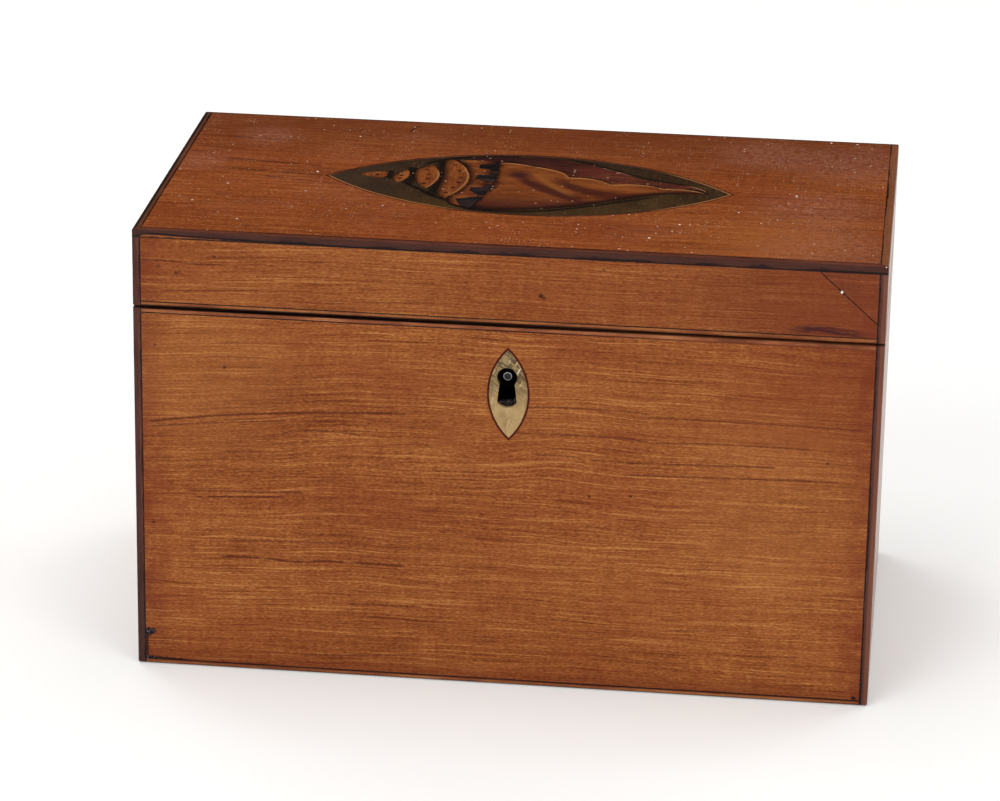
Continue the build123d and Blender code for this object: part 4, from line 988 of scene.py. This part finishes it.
# Crumbs of old wax and fluff have lodged in the foot of the keyhole, and in the corners of the front.
# A bead of white stopping sits in the patch's seam, and another on the lid's corner. All are soft, matt
# lumps, none as much as two millimetres across.
def crumb(name, body, middle, radii, seed, material):
    """A lump. Over angles a round X and b down from +Z its distance from the middle is the ellipsoid's, times
    1 + 0.16 sin(3a + seed) sin(2b) + 0.10 sin(5a + 2 seed) sin(3b)."""
    around, down = 18, 10
    turns = np.linspace(0, 2 * np.pi, around, endpoint=False)
    a, b = np.meshgrid(turns, np.linspace(0, np.pi, down + 1)[1:-1])
    swell = 1 + 0.16 * np.sin(3 * a + seed) * np.sin(2 * b) + 0.10 * np.sin(5 * a + 2 * seed) * np.sin(3 * b)
    lump = np.stack([np.cos(a) * np.sin(b), np.sin(a) * np.sin(b), np.cos(b)], -1) * swell[..., None]
    lump = np.concatenate([[(0, 0, 1)], lump.reshape(-1, 3), [(0, 0, -1)]])
    points = (lump * radii + np.array(middle)) * mm
    ring = np.arange(around)
    following = (ring + 1) % around
    faces = [(0, 1 + k, 1 + n) for k, n in zip(ring, following)]
    for row in range(down - 2):
        upper, lower = 1 + row * around, 1 + (row + 1) * around
        faces += [(upper + k, lower + k, lower + n, upper + n) for k, n in zip(ring, following)]
    last, foot = 1 + (down - 2) * around, len(points) - 1
    faces += [(foot, last + n, last + k) for k, n in zip(ring, following)]
    mesh = bpy.data.meshes.new(name)
    mesh.from_pydata(points.tolist(), [], [tuple(int(v) for v in face) for face in faces])
    mesh.polygons.foreach_set("use_smooth", [True] * len(faces))
    mesh.materials.append(material)
    piece = bpy.data.objects.new(name, mesh)
    bpy.context.scene.collection.objects.link(piece)
    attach(piece, body)


def waxy_dirt(name, dark, pale, share):
    """Matt crumbly dirt in two colours, the pale one covering about a share of it. On the dark fluff and wax
    the pale specks are painted glints.
    """
    material, tree = new_finish(name)
    lumps = fibres(tree, along_grain(tree), 0.35, 0.35, 211.0, 3.0)
    colour = lay(tree, dark, (step(tree, lumps, 0.62 - share / 2, 0.72 - share / 2), pale, 1.0))
    surface(tree, colour, lumps, (0.9, 0.75), depth=0.06, gloss=0.2, tones=(0.3, 0.7))
    return material


# The pale grey specks on the fluff and on the black wax are painted glints.
fluff = waxy_dirt("fluff_and_wax_with_painted_glints", "#1a1112", "#756669", 0.16)
black_wax = waxy_dirt("black_wax_with_painted_glints", "#151012", "#74777d", 0.18)
stopping = waxy_dirt("white_stopping", "#f2e4d4", "#fffaf2", 0.50)
keyhole_crumbs = [
    # X, Z, half width and half height
    (-0.7, 77.45, 0.75, 0.50), (0.3, 76.85, 0.70, 0.45), (1.2, 76.95, 0.75, 0.50), (2.1, 77.55, 0.70, 0.55),
    (0.9, 77.70, 0.85, 0.45), (2.55, 78.15, 0.40, 0.40),
]
corner_crumbs = [
    (-92.3, 9.0, 0.60, 0.75), (-91.3, 8.7, 0.50, 0.50), (-90.7, 9.5, 0.38, 0.30), (-92.3, 1.6, 0.55, 0.50),
    (-91.3, 1.8, 0.50, 0.32), (-90.1, 1.6, 0.60, 0.22), (93.4, 5.8, 0.35, 0.60), (91.5, 2.0, 0.50, 0.28),
]
front_y = -52.5
for k, (x, z, half_x, half_z) in enumerate(keyhole_crumbs):
    crumb(f"keyhole_crumb_{k + 1}", "case", (x, front_y + 1.6, z), (half_x, 0.5, half_z), 1.7 * k, fluff)
for k, (x, z, half_x, half_z) in enumerate(corner_crumbs):
    crumb(f"corner_crumb_{k + 1}", "case", (x, front_y, z), (half_x, 0.14, half_z), 2.3 * k, black_wax)
crumb("seam_stopping", "lid", (83.7, front_y, 111.8), (0.32, 0.20, 0.32), 0.4, stopping)
crumb("corner_chip", "lid", (94.4, front_y + 0.3, 118.65), (0.35, 0.28, 0.28), 1.1, stopping)


# The inside is lined with laid paper, pasted to the boards and the bottom.
# It is a faded blue-grey with the mould's fine lines, brown foxing, and grubby edges.
laid_line_spacing = 1.1
paper_tones = [(0.25, "#758083"), (0.5, "#8d9896"), (0.75, "#a5aca6")]
material, tree = new_finish("faded_laid_paper")
plan = along_grain(tree)
x, y, z = add(tree, "SeparateXYZ", {0: plan}).node.outputs
cloud = fibres(tree, plan, 25, 25, 222.0, 3.0)
turn = times(tree, add(tree, "Math", {0: x, 1: y}, operation="ADD"), 2 * np.pi / laid_line_spacing)
laid = add(tree, "Math", {0: add(tree, "Math", {0: turn}, operation="SINE"), 1: 0.5, 2: 0.5},
           operation="MULTIPLY_ADD")
tone = weigh(tree, [(fibres(tree, plan, 0.6, 0.6, 221.0, 4.0), 0.6), (cloud, 0.55), (laid, 0.12)])
foxing = step(tree, fibres(tree, plan, 4.5, 4.5, 223.0, 3.0), 0.60, 0.72)
low_dirt = times(tree, step(tree, z, 16.0, 6.0), step(tree, cloud, 0.25, 0.85, 0.3, 1.0))
colour = lay(tree, add(tree, "ValToRGB", {0: tone}, stops=paper_tones), (foxing, "#8a6a45", 0.5),
             (low_dirt, "#6b5c48", 0.42))
surface(tree, colour, tone, (0.9, 0.8), depth=0.05, gloss=0.2)
dress(material, "floor_paper", "wall_papers", "lid_papers")


# The link plate hangs under the lid's front rail, with two hooks that the bolt catches.
# It is filed brass like the lock's selvedge, screwed up into the rail.
dress(old_brass, "link_plate", "link_screws")
